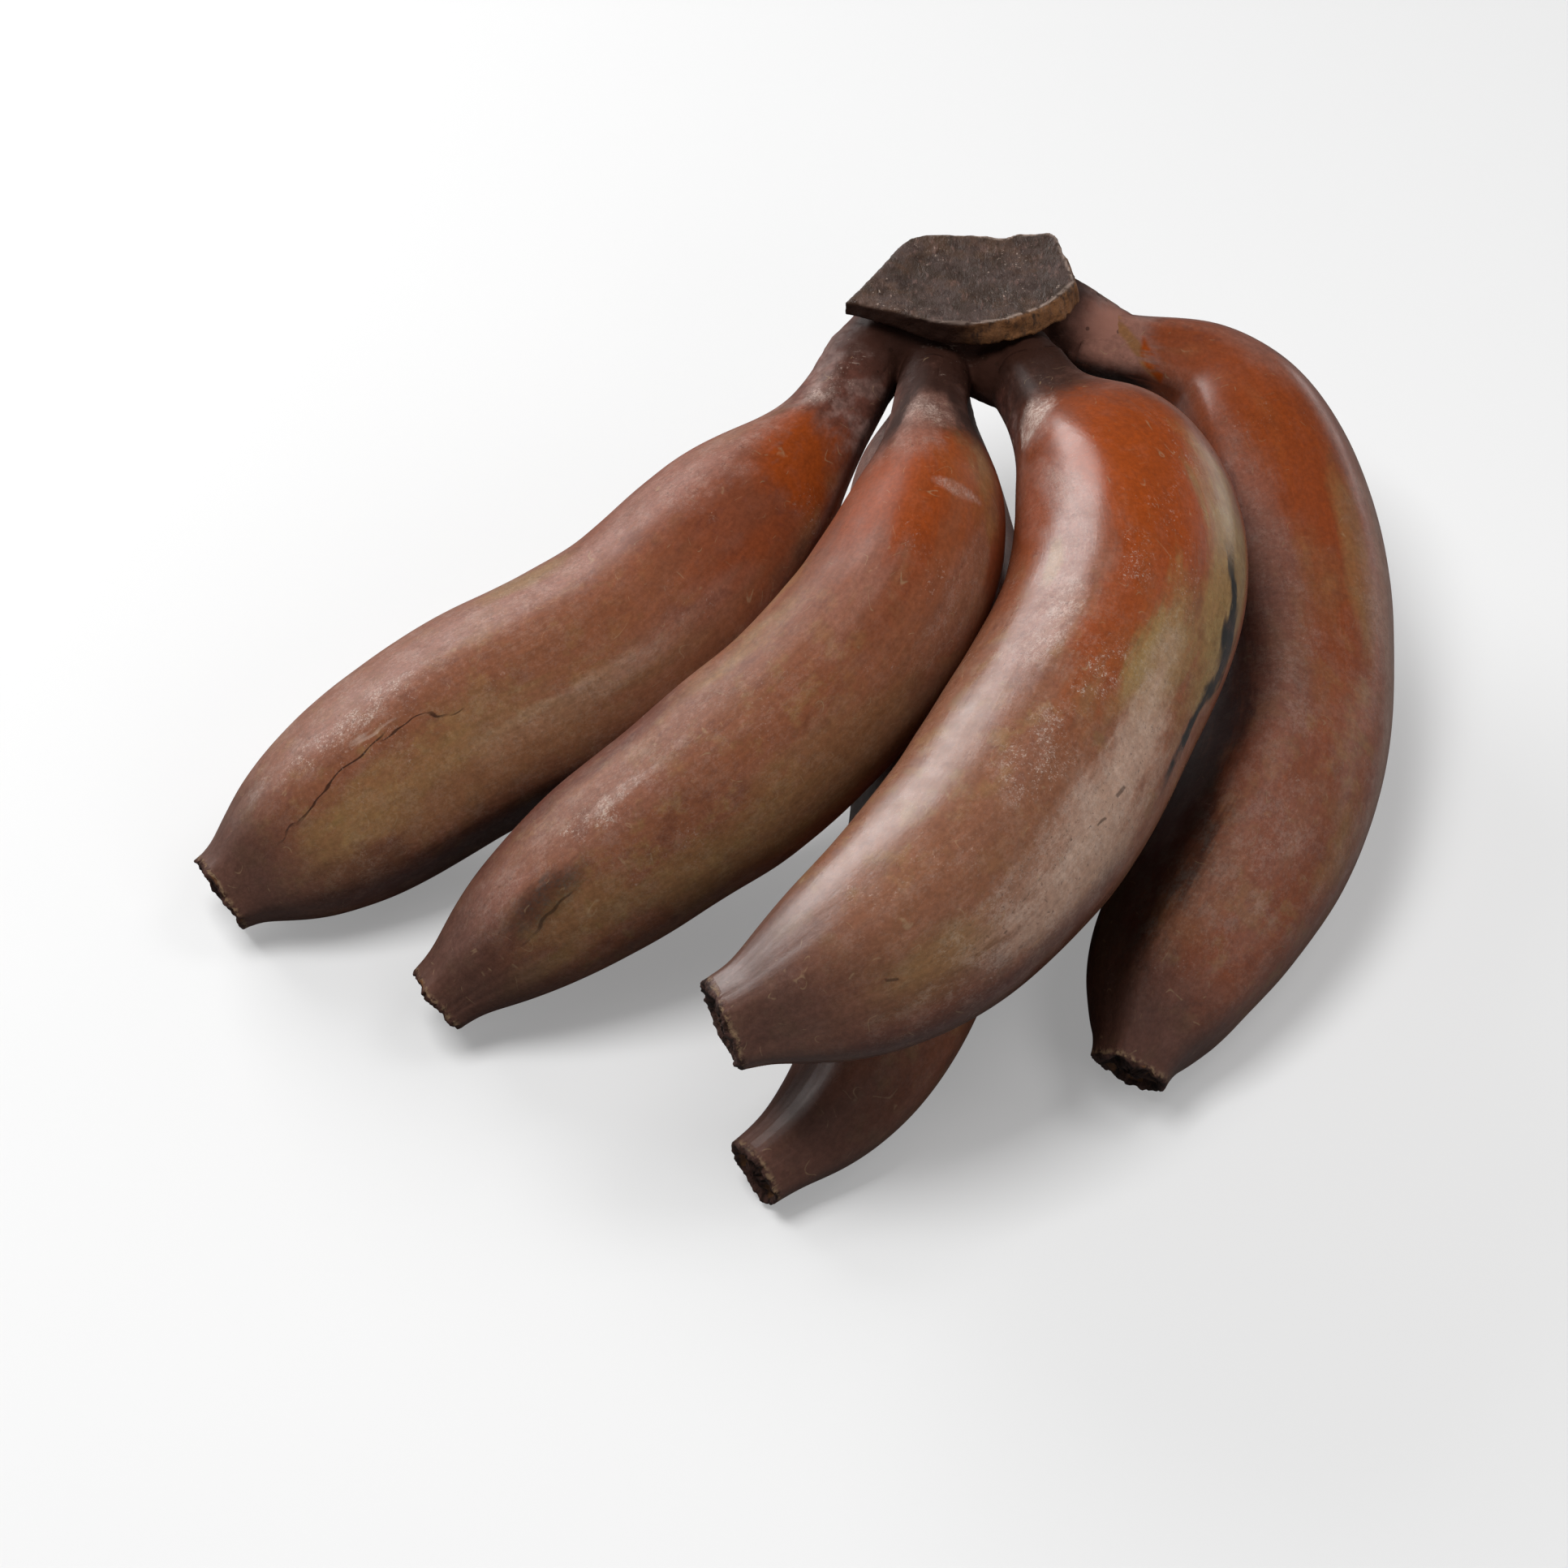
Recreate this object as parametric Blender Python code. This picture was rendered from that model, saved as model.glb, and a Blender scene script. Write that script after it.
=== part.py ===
"""A hand of five red bananas joined at its cut crown, lying on a flat surface with the crown up.

The fingers are tapered sweeps along hand-set spines. The crown is one solid: the slab that the knife
left, the fused mass under it, and the first stretch of every finger's neck. Lengths are millimetres
until they reach Blender, which gets metres.
"""

import math

import bmesh
import bpy
import numpy as np

MM = 0.001

# Driving dimensions.
JOINT_GAP = 0.3  # between a finger and its neck stub on the crown
NECK_STUB = 0.075  # share of a finger's length that belongs to the crown
RIDGE_HEIGHT = 0.035  # height of the five long ridges, as a share of the radius
RIDGES = 5
SIDES = 20
STATIONS = 34
STUB_STATIONS = 6
SPINE_STEPS = 1000  # straight steps that stand for a spine when its length is measured
CHORD_POWER = 0.75  # spaces the knots along the spline, so that it doesn't overshoot at a tight bend
TABLE_SIZE = (400, 400, 50)
BALL_SEGMENTS, BALL_RINGS = 24, 12
CREASE_ANGLE = 40  # degrees: sharper edges than this are shaded as edges
WELD_WITHIN = 0.001

# Radius of a finger of girth 1, by the share of its length from the crown.
NECK_RADII = ((0.0, 7.4), (0.06, 7.6), (0.12, 8.4), (0.18, 11.0), (0.25, 15.2), (0.33, 18.1), (0.42, 19.5))
BELLY_RADII = ((0.54, 20.1), (0.64, 20.2))
# The same near the blossom end, by the share of its length from that end.
TIP_RADII = ((0.27, 19.6), (0.20, 18.6), (0.13, 16.3), (0.08, 13.5), (0.045, 10.5), (0.02, 8.4), (0.0, 7.6))

# name: girth, neck length factor, tip length factor, spine knots from the crown to the blossom end
FINGERS = {
    "finger_left": (
        1.03,
        0.96,
        0.95,
        ((13, 75, 55), (3, 57, 49), (-13, 38, 42), (-32, 17, 34), (-58, 4, 27), (-83, -10, 18), (-106, -24, 10)),
    ),
    "finger_centre_left": (
        0.88,
        0.92,
        1.2,
        ((25, 69, 54), (23, 49, 57), (22, 26, 58), (15, 4, 54), (0, -14, 47), (-22, -28, 36), (-46, -39, 22),
         (-65, -49, 10)),
    ),
    "finger_centre_right": (
        1.06,
        0.7,
        1.1,
        ((41, 70, 54), (47, 53, 56), (56, 32, 57), (57, 7, 55), (48, -17, 53), (35, -43, 51), (14, -68, 48),
         (-14, -82, 43)),
    ),
    "finger_right": (
        0.92,
        0.8,
        0.8,
        ((49, 86, 50), (61, 82, 48), (76, 79, 45), (87, 64, 37), (92, 39, 26), (90, 9, 19), (80, -20, 18),
         (66, -44, 15), (56, -66, 11)),
    ),
    "finger_under": (
        0.82,
        0.45,
        1.4,
        ((25, 77, 49), (25, 77, 36), (24, 68, 22), (26.5, 42, 16), (26, 8, 16), (22, -28, 15), (14, -58, 14),
         (5, -74, 11), (-9, -86, 8)),
    ),
}

# The crown: outline of the cut face seen from above, and the heights of the slab under it.
CUT_OUTLINE = ((21, 91), (46, 92), (50, 79), (45, 73), (38, 68), (30, 65), (24, 66), (18, 69), (8, 72))
CUT_TOP = 68.0
CUT_SLAB = 5.0
CUT_ROUNDING = 0.8
MASS_CENTRE = (28, 79, 54)
MASS_RADII = (20, 13, 12)
HEART = (29, 79, 53)  # where every neck starts inside the crown
HEART_RADIUS = 7.5

# Colour, roughness
SKIN = {
    "finger_left": ((0.105, 0.034, 0.026), 0.42),
    "finger_centre_left": ((0.125, 0.036, 0.022), 0.42),
    "finger_centre_right": ((0.130, 0.040, 0.024), 0.42),
    "finger_right": ((0.110, 0.035, 0.025), 0.42),
    "finger_under": ((0.090, 0.030, 0.026), 0.45),
}
CROWN_BARK = ((0.050, 0.038, 0.034), 0.75)


def clear_scene():
    for obj in list(bpy.data.objects):
        bpy.data.objects.remove(obj, do_unlink=True)


def new_collection(name):
    collection = bpy.data.collections.new(name)
    bpy.context.scene.collection.children.link(collection)
    return collection


def new_material(name, colour, roughness):
    material = bpy.data.materials.new(name)
    material.use_nodes = True
    shader = material.node_tree.nodes["Principled BSDF"]
    shader.inputs["Base Color"].default_value = (*colour, 1.0)
    shader.inputs["Roughness"].default_value = roughness
    shader.inputs["Metallic"].default_value = 0.0
    return material


def smooth_through(places, values, wanted):
    """A natural cubic spline through values at places, read at the wanted places."""
    places = np.asarray(places, float)
    values = np.asarray(values, float).reshape(len(places), -1)
    step = np.diff(places)
    slope = np.diff(values, axis=0) / step[:, None]
    system = np.eye(len(places))
    bends = np.zeros_like(values)
    for i in range(1, len(places) - 1):
        system[i, i - 1 : i + 2] = step[i - 1], 2 * (step[i - 1] + step[i]), step[i]
        bends[i] = 6 * (slope[i] - slope[i - 1])
    bends = np.linalg.solve(system, bends)
    i = np.clip(np.searchsorted(places, wanted) - 1, 0, len(step) - 1)
    h = step[i][:, None]
    before = (places[i + 1] - wanted)[:, None]
    after = (wanted - places[i])[:, None]
    return (
        (bends[i] * before**3 + bends[i + 1] * after**3) / (6 * h)
        + (values[i] / h - bends[i] * h / 6) * before
        + (values[i + 1] / h - bends[i + 1] * h / 6) * after
    )


def spine_points(knots, shares):
    """Points on the smooth curve through the knots, at these shares of its length."""
    knots = np.array(knots, float)
    chords = np.linalg.norm(np.diff(knots, axis=0), axis=1)
    places = np.concatenate([[0.0], np.cumsum(chords**CHORD_POWER)])
    fine = smooth_through(places, knots, np.linspace(0.0, places[-1], SPINE_STEPS))
    along = np.concatenate([[0.0], np.cumsum(np.linalg.norm(np.diff(fine, axis=0), axis=1))])
    return np.stack([np.interp(shares * along[-1], along, axis) for axis in fine.T], axis=1)


def spine_length(knots):
    points = spine_points(knots, np.linspace(0.0, 1.0, SPINE_STEPS))
    return np.linalg.norm(np.diff(points, axis=0), axis=1).sum()


def radii_along(girth, neck, tip, shares):
    stations = [(share * neck, radius) for share, radius in NECK_RADII]
    stations += BELLY_RADII
    stations += [(1.0 - share * tip, radius) for share, radius in TIP_RADII]
    places, radii = zip(*stations)
    return girth * smooth_through(places, radii, shares)[:, 0]


def new_ridged_profile(guides):
    """The cross-section of radius 1 mm: a circle with five soft ridges, which a spline's radius scales."""
    curve = bpy.data.curves.new("ridged_profile", "CURVE")
    curve.dimensions = "2D"
    spline = curve.splines.new("POLY")
    spline.points.add(SIDES - 1)
    spline.use_cyclic_u = True
    for i, point in enumerate(spline.points):
        angle = 2 * math.pi * i / SIDES
        radius = MM * (1 + RIDGE_HEIGHT * math.cos(RIDGES * angle))
        point.co = (radius * math.cos(angle), radius * math.sin(angle), 0.0, 1.0)
    profile = bpy.data.objects.new("ridged_profile", curve)
    guides.objects.link(profile)
    as_guide(profile)
    return profile


def as_guide(obj):
    obj.hide_render = True
    obj.display_type = "WIRE"


def swept_mesh(name, points, radii, profile):
    """The profile swept through the points, each with its own radius, as a closed mesh."""
    curve = bpy.data.curves.new(name, "CURVE")
    curve.dimensions = "3D"
    curve.bevel_mode = "OBJECT"
    curve.bevel_object = profile
    curve.use_fill_caps = True
    spline = curve.splines.new("POLY")
    spline.points.add(len(points) - 1)
    for point, place, radius in zip(spline.points, points, radii):
        point.co = (*(MM * place), 1.0)
        point.radius = radius
    rail = bpy.data.objects.new(name + "_rail", curve)
    bpy.context.scene.collection.objects.link(rail)
    bpy.context.view_layer.update()
    mesh = bpy.data.meshes.new_from_object(rail.evaluated_get(bpy.context.evaluated_depsgraph_get()))
    bpy.data.objects.remove(rail, do_unlink=True)
    close_mesh(mesh)
    mesh.name = name
    return mesh


def close_mesh(mesh):
    """Welds loose caps to their walls and turns every face outwards."""
    shape = bmesh.new()
    shape.from_mesh(mesh)
    bmesh.ops.remove_doubles(shape, verts=shape.verts, dist=MM * WELD_WITHIN)
    bmesh.ops.recalc_face_normals(shape, faces=shape.faces)
    shape.to_mesh(mesh)
    shape.free()
    mesh.shade_smooth()
    mesh.set_sharp_from_angle(angle=math.radians(CREASE_ANGLE))


def new_object(name, mesh, collection):
    obj = bpy.data.objects.new(name, mesh)
    collection.objects.link(obj)
    return obj


def new_table(cutters):
    """A block that lies under the hand, up to the surface that it rests on."""
    block = bmesh.new()
    bmesh.ops.create_cube(block, size=1.0)
    bmesh.ops.scale(block, vec=[MM * side for side in TABLE_SIZE], verts=block.verts)
    bmesh.ops.translate(block, vec=(0.0, 0.0, -MM * TABLE_SIZE[2] / 2), verts=block.verts)
    mesh = bpy.data.meshes.new("table_cutter")
    block.to_mesh(mesh)
    block.free()
    table = new_object("table_cutter", mesh, cutters)
    as_guide(table)
    return table


def add_boolean(obj, operation, other):
    boolean = obj.modifiers.new(f"{operation.lower()}_{other.name}", "BOOLEAN")
    boolean.operation = operation
    boolean.solver = "EXACT"
    boolean.object = other


def make_finger(name, profile, table, collection):
    girth, neck, tip, knots = FINGERS[name]
    start = NECK_STUB + JOINT_GAP / spine_length(knots)
    shares = start + (1.0 - start) * (0.5 - 0.5 * np.cos(np.linspace(0.0, math.pi, STATIONS)))
    points = spine_points(knots, shares)
    finger = new_object(name, swept_mesh(name, points, radii_along(girth, neck, tip, shares), profile), collection)
    add_boolean(finger, "DIFFERENCE", table)
    finger.data.materials.append(new_material(name + "_skin", *SKIN[name]))
    return finger


def make_neck_stub(name, profile, cutters):
    """The crown's share of one neck, from the heart of the crown to the finger's first station."""
    girth, neck, tip, knots = FINGERS[name]
    shares = NECK_STUB * (1.0 - np.linspace(1.0, 0.0, STUB_STATIONS) ** 2)
    points = np.concatenate([[HEART], spine_points(knots, shares)])
    radii = np.concatenate([[HEART_RADIUS], radii_along(girth, neck, tip, shares)])
    stub = new_object(name + "_stub", swept_mesh(name + "_stub", points, radii, profile), cutters)
    as_guide(stub)
    return stub


def make_fused_mass(cutters):
    ball = bmesh.new()
    bmesh.ops.create_uvsphere(ball, u_segments=BALL_SEGMENTS, v_segments=BALL_RINGS, radius=1.0)
    bmesh.ops.scale(ball, vec=[MM * radius for radius in MASS_RADII], verts=ball.verts)
    bmesh.ops.translate(ball, vec=[MM * place for place in MASS_CENTRE], verts=ball.verts)
    mesh = bpy.data.meshes.new("fused_mass")
    ball.to_mesh(mesh)
    ball.free()
    mass = new_object("fused_mass", mesh, cutters)
    as_guide(mass)
    return mass


def make_cut_slab(collection):
    """The flat slab under the knife's cut, as a filled outline with a rounded edge."""
    curve = bpy.data.curves.new("cut_slab", "CURVE")
    curve.dimensions = "2D"
    curve.fill_mode = "BOTH"
    curve.extrude = MM * (CUT_SLAB / 2 - CUT_ROUNDING)
    curve.bevel_depth = MM * CUT_ROUNDING
    curve.offset = -MM * CUT_ROUNDING
    curve.bevel_resolution = 1
    spline = curve.splines.new("POLY")
    spline.points.add(len(CUT_OUTLINE) - 1)
    spline.use_cyclic_u = True
    for point, (x, y) in zip(spline.points, CUT_OUTLINE):
        point.co = (MM * x, MM * y, 0.0, 1.0)
    outline = bpy.data.objects.new("cut_outline", curve)
    bpy.context.scene.collection.objects.link(outline)
    outline.location.z = MM * (CUT_TOP - CUT_SLAB / 2)
    bpy.context.view_layer.update()
    mesh = bpy.data.meshes.new_from_object(outline.evaluated_get(bpy.context.evaluated_depsgraph_get()))
    mesh.transform(outline.matrix_world)
    bpy.data.objects.remove(outline, do_unlink=True)
    close_mesh(mesh)
    return new_object("crown", mesh, collection)


def make_crown(profile, collection, cutters):
    crown = make_cut_slab(collection)
    add_boolean(crown, "UNION", make_fused_mass(cutters))
    for name in FINGERS:
        add_boolean(crown, "UNION", make_neck_stub(name, profile, cutters))
    crown.data.materials.append(new_material("crown_bark", *CROWN_BARK))
    return crown


def main():
    clear_scene()
    hand = new_collection("red_banana_hand")
    cutters = new_collection("cutters")
    profile = new_ridged_profile(cutters)
    table = new_table(cutters)
    for name in FINGERS:
        make_finger(name, profile, table, hand)
    make_crown(profile, hand, cutters)


main()
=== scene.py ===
"""A hand of red bananas on its cut crown: five fingers with their skins and blossom ends, the crown's
cut slab and the bark under it, and a small studio.

Laid out as a Blender add-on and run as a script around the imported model. The hand's tables are in
millimetres and degrees, and the studio's are in metres.
"""

import math

import bmesh
import bpy
import numpy as np
from bpy.props import FloatProperty, FloatVectorProperty, IntProperty, PointerProperty
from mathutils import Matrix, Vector, noise


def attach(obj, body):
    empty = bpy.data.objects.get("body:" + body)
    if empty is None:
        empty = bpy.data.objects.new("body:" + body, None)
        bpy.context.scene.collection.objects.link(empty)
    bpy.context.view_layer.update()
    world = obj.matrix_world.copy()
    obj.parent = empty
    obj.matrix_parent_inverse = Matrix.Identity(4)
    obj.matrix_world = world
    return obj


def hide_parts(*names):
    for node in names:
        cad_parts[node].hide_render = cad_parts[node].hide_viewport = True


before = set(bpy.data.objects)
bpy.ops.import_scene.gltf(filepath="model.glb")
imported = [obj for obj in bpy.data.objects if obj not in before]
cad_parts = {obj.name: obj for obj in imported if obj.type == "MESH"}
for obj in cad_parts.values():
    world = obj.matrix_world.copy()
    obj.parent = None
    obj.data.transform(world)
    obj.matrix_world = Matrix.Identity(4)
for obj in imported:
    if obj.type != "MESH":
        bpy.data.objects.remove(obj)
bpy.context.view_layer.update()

bl_info = {
    "name": "Red Banana Hand",
    "version": (1, 0, 0),
    "blender": (4, 5, 0),
    "location": "View3D > Sidebar > Banana",
    "description": "Grows a hand of red bananas on its cut crown, with skin, cork and a small studio",
    "category": "Add Mesh",
}

MM = 0.001

# ---- The hand's measurements ----

# Radius of a finger of girth 1, by the share of its length from the crown.
NECK_RADII = ((0.0, 7.4), (0.06, 7.6), (0.12, 8.4), (0.18, 11.0), (0.25, 15.2), (0.33, 18.1), (0.42, 19.5))
BELLY_RADII = ((0.54, 20.1), (0.64, 20.2))
# The same near the blossom end, by the share of its length from that end. It ends in a short blunt neck.
TIP_RADII = ((0.27, 19.6), (0.20, 18.6), (0.13, 16.3), (0.08, 13.5), (0.045, 10.5), (0.02, 8.4), (0.0, 7.6))

# name: girth, neck length factor, tip length factor, spine knots from the crown to the blossom end
FINGERS = {
    "finger_left": (
        1.03, 0.96, 0.95,
        ((13, 75, 55), (3, 57, 49), (-13, 38, 42), (-32, 17, 34), (-58, 4, 27), (-83, -10, 18),
         (-106, -24, 10)),
    ),
    "finger_centre_left": (
        0.88, 0.92, 1.2,
        ((25, 69, 54), (23, 49, 57), (22, 26, 58), (15, 4, 54), (0, -14, 47), (-22, -28, 36),
         (-46, -39, 22), (-65, -49, 10)),
    ),
    "finger_centre_right": (
        1.06, 0.7, 1.1,
        ((41, 70, 54), (47, 53, 56), (56, 32, 57), (57, 7, 55), (48, -17, 53), (35, -43, 51),
         (14, -68, 48), (-14, -82, 43)),
    ),
    "finger_right": (
        0.92, 0.8, 0.8,
        ((49, 86, 50), (61, 82, 48), (76, 79, 45), (87, 64, 37), (92, 39, 26), (90, 9, 19),
         (80, -20, 18), (66, -44, 15), (56, -66, 11)),
    ),
    "finger_under": (
        0.82, 0.45, 1.4,
        ((25, 77, 49), (25, 77, 36), (24, 68, 22), (26.5, 42, 16), (26, 8, 16), (22, -28, 15),
         (14, -58, 14), (5, -74, 11), (-9, -86, 8)),
    ),
}
# Where each finger's five ridges sit: the turn of the first one, and how proud each stands.
# Turn 0 faces a person who looks down at the hand, and 90 is their left or upper side.
RIDGES = {
    "finger_left": (27, (1.0, 0.5, 0.9, 0.8, 1.1)),
    "finger_centre_left": (15, (1.0, 0.9, 0.7, 0.9, 0.8)),
    "finger_centre_right": (15, (1.1, 0.8, 0.9, 0.6, 1.3)),
    "finger_right": (26, (1.7, 0.7, 0.9, 0.8, 1.2)),
    "finger_under": (20, (1.0, 0.8, 0.8, 0.9, 1.0)),
}
END_TILTS = {"finger_right": 0.28}  # how far a blossom end leans away from turn 0, as a slope
TOWARDS_VIEWER = (0.0, -0.68, 0.73)
CROWN_SHARE = 0.03  # where a finger's mesh begins, inside the crown
RIM_STATIONS = (  # from the rim of the blossom end to its centre: share of the radius, mm past the end
    (0.985, 0.25), (0.94, 0.45), (0.88, 0.4), (0.82, 0.0), (0.77, -0.5), (0.71, -0.9), (0.64, -1.1),
    (0.56, -1.0), (0.48, -0.7), (0.41, -0.3), (0.33, 0.0), (0.24, 0.1), (0.12, 0.0), (0.0, -0.1),
)

NECK_END_SCALES = (0.0, 0.7)  # the two rings that close a finger's hidden end, as shares of its radius
RING_CROWDING = 0.09  # how much closer the rings stand halfway along a finger, as a share of their spacing
RIDGE_WIDTH = 0.33  # radians of turn over which a ridge falls away to either side
LIP = 1.2  # mm before the rim of the blossom end over which its crust sets in
# Painted shade in the blossom end's hollow is darkest at this depth.
HOLLOW_DEPTH = 1.6  # mm behind the rim where the hollow of a blossom end is darkest
SPINE_SAMPLES = 400  # points that give a spine's length and directions
SPLINE_SAMPLES = 1000  # points of the curve through the knots

# The crown: corners of the cut face seen from above, behind and along its curved front, and its height.
CUT_TOP = 68.0
CUT_BACK = (
    (11.5, 78.4), (15.3, 84.3), (18.2, 89.2), (20.2, 91.4), (23.2, 92.4), (30.0, 92.2), (35.0, 92.0),
    (36.6, 91.3), (38.4, 91.5), (40.0, 92.4), (46.6, 92.9), (48.0, 91.6),
)
CUT_FRONT = (
    (50.9, 78.6), (47.4, 73.8), (42.2, 69.8), (36.3, 67.2), (30.0, 66.0), (23.6, 66.7), (18.0, 68.9),
    (12.8, 70.6), (7.4, 72.2),
)
CUT_FRONT_STEPS = 40
CUT_DISH = (-0.7, 7.0)  # height of the cut's middle over its edge, and how far in it is reached, in mm
CUT_THINNING = 0.42  # the share of its thickness that the slab loses towards its left end
RIM_LEAN = 1.3  # mm that the foot of the rim stands out at the right
CROWN_MIDDLE = (30, 80, 60)
LOBE_MIDDLE = (58, 77, 54)
MASS_CENTRE = (28, 79, 54)
MASS_RADII = (18, 12, 11.5)
HEART = (29, 79, 53)
HEART_RADIUS = 7.5
# The bark sheath round each neck: shares of the finger's length, and mm that it stands over the skin.
SHEATH_SHARES = (0.0, 0.02, 0.04, 0.06, 0.08, 0.10)
SHEATH_SPARE = (0.1, 0.15, 0.12, 0.0, -0.35, -0.9)
# Limbs that fill the crown out: points and radii.
WEBS = (
    (
        ((44, 86, 57), (50, 85.6, 53.4), (55, 84.6, 50), (60, 82.4, 48.2), (64.5, 81.2, 47)),
        (7.6, 7.1, 7.3, 7.1, 5.6),
    ),
    (((33, 73, 53), (38, 67, 54), (41, 62, 54)), (7.0, 6.2, 4.6)),
    (((16, 76, 54), (16, 71, 53)), (5.5, 3.6)),
)
LIMB_SEGMENTS = 32
BASE_SMOOTHING = 12  # passes that soften the fused bark, and the slab
CUT_SMOOTHING = 2


# ---- Curves ----

def smooth_through(places, values, wanted):
    """A natural cubic spline through values at places, read at the wanted places."""
    places = np.asarray(places, float)
    values = np.asarray(values, float).reshape(len(places), -1)
    step = np.diff(places)
    slope = np.diff(values, axis=0) / step[:, None]
    system = np.eye(len(places))
    bends = np.zeros_like(values)
    for i in range(1, len(places) - 1):
        system[i, i - 1 : i + 2] = step[i - 1], 2 * (step[i - 1] + step[i]), step[i]
        bends[i] = 6 * (slope[i] - slope[i - 1])
    bends = np.linalg.solve(system, bends)
    i = np.clip(np.searchsorted(places, wanted) - 1, 0, len(step) - 1)
    h = step[i][:, None]
    before = (places[i + 1] - wanted)[:, None]
    after = (wanted - places[i])[:, None]
    return (
        (bends[i] * before**3 + bends[i + 1] * after**3) / (6 * h)
        + (values[i] / h - bends[i] * h / 6) * before
        + (values[i + 1] / h - bends[i + 1] * h / 6) * after
    )


def spine_points(knots, shares):
    """Points on the smooth curve through the knots, at these shares of its length."""
    knots = np.array(knots, float)
    chords = np.linalg.norm(np.diff(knots, axis=0), axis=1)
    places = np.concatenate([[0.0], np.cumsum(chords**0.75)])
    fine = smooth_through(places, knots, np.linspace(0.0, places[-1], SPLINE_SAMPLES))
    along = np.concatenate([[0.0], np.cumsum(np.linalg.norm(np.diff(fine, axis=0), axis=1))])
    return np.stack([np.interp(shares * along[-1], along, axis) for axis in fine.T], axis=1)


def spine_length(knots):
    points = spine_points(knots, np.linspace(0.0, 1.0, SPINE_SAMPLES))
    return np.linalg.norm(np.diff(points, axis=0), axis=1).sum()


def radii_along(girth, neck, tip, shares):
    stations = [(share * neck, radius) for share, radius in NECK_RADII]
    stations += BELLY_RADII
    stations += [(1.0 - share * tip, radius) for share, radius in TIP_RADII]
    places, radii = zip(*stations)
    return girth * smooth_through(places, radii, shares)[:, 0]


def spine_frames(points):
    """For each point of a spine: its direction, the side seen on the left, and the side that faces up."""
    along = np.gradient(points, axis=0)
    along /= np.linalg.norm(along, axis=1)[:, None]
    left = np.cross(along, TOWARDS_VIEWER)
    left /= np.linalg.norm(left, axis=1)[:, None]
    return along, left, np.cross(left, along)


def fade(low, high, values):
    """0 below low, 1 above high, and a smooth step between them."""
    t = np.clip((values - low) / (high - low), 0.0, 1.0)
    return t * t * (3 - 2 * t)


def noise_at(points, size, octaves=2, seed=0.0):
    """Soft noise from -1 to 1 at these points, whose lumps are about this size."""
    shifted = points / size + seed
    return np.array([noise.fractal(Vector(p), 1.0, 2.0, octaves) for p in shifted])


def noise_round(turn, height, fineness, octaves, seed):
    """Noise that meets itself once round a finger; more fineness means more lumps in a turn."""
    places = np.stack([fineness * np.cos(turn), fineness * np.sin(turn), height], axis=1)
    return noise_at(places, 1.0, octaves, seed)


# ---- Meshes ----

def mesh_from(name, shape):
    mesh = bpy.data.meshes.new(name)
    shape.to_mesh(mesh)
    shape.free()
    return mesh


def read_points(mesh):
    flat = np.empty(len(mesh.vertices) * 3, np.float32)
    mesh.vertices.foreach_get("co", flat)
    return flat.reshape(-1, 3).astype(float)


def read_normals(mesh):
    flat = np.empty(len(mesh.vertices) * 3, np.float32)
    mesh.vertex_normals.foreach_get("vector", flat)
    return flat.reshape(-1, 3).astype(float)


def write_points(mesh, points):
    mesh.vertices.foreach_set("co", np.ascontiguousarray(points, np.float32).ravel())
    mesh.update()


def store(mesh, name, values):
    """Keeps a number or a vector for each vertex as a named attribute."""
    values = np.ascontiguousarray(values, np.float32)
    kind, field = ("FLOAT_VECTOR", "vector") if values.ndim == 2 else ("FLOAT", "value")
    mesh.attributes.new(name, kind, "POINT").data.foreach_set(field, values.ravel())


def tube_grid(segments, rings, cap_ends=False):
    """An upright tube one unit high and one in radius, cut into rings, to be moved onto a spine."""
    tube = bmesh.new()
    bmesh.ops.create_cone(tube, cap_ends=cap_ends, segments=segments, radius1=1.0, radius2=1.0, depth=1.0)
    upright = [edge for edge in tube.edges if abs(edge.verts[0].co.z - edge.verts[1].co.z) > 0.5]
    bmesh.ops.subdivide_edges(tube, edges=upright, cuts=rings - 1, use_grid_fill=True)
    return tube


def add_piece(context, name, mesh, node, material):
    """A finished piece that stands for a CAD node, in the one body."""
    piece = bpy.data.objects.new(name, mesh)
    context.scene.collection.objects.link(piece)
    mesh.shade_smooth()
    mesh.materials.append(material)
    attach(piece, "root")
    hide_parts(node)
    return piece


def ridge_pattern(turns, first, strengths):
    """A soft five-cornered outline: how far each turn stands proud, from about -1 to 1."""
    pattern = np.zeros_like(turns)
    for i, strength in enumerate(strengths):
        away = np.angle(np.exp(1j * (turns - math.radians(first + 72 * i))))
        pattern += strength * np.exp(-((away / RIDGE_WIDTH) ** 2))
    return 2.2 * (pattern - 0.45)


def finger_stations(rings):
    """The share, radius factor and push past the end of every ring, from the crown to the blossom end."""
    body = rings - 1 - len(RIM_STATIONS)
    t = np.linspace(0.0, 1.0, body)
    crowded = t + RING_CROWDING * np.sin(2 * math.pi * t) / (2 * math.pi)
    shares = CROWN_SHARE + (1 - CROWN_SHARE) * crowded
    rim_scales, rim_pushes = np.array(RIM_STATIONS).T
    shares = np.concatenate([[CROWN_SHARE, CROWN_SHARE], shares, np.ones(len(RIM_STATIONS))])
    scales = np.concatenate([NECK_END_SCALES, np.ones(body), rim_scales])
    pushes = np.concatenate([np.zeros(body + 2), rim_pushes])
    return shares, scales, pushes


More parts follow.
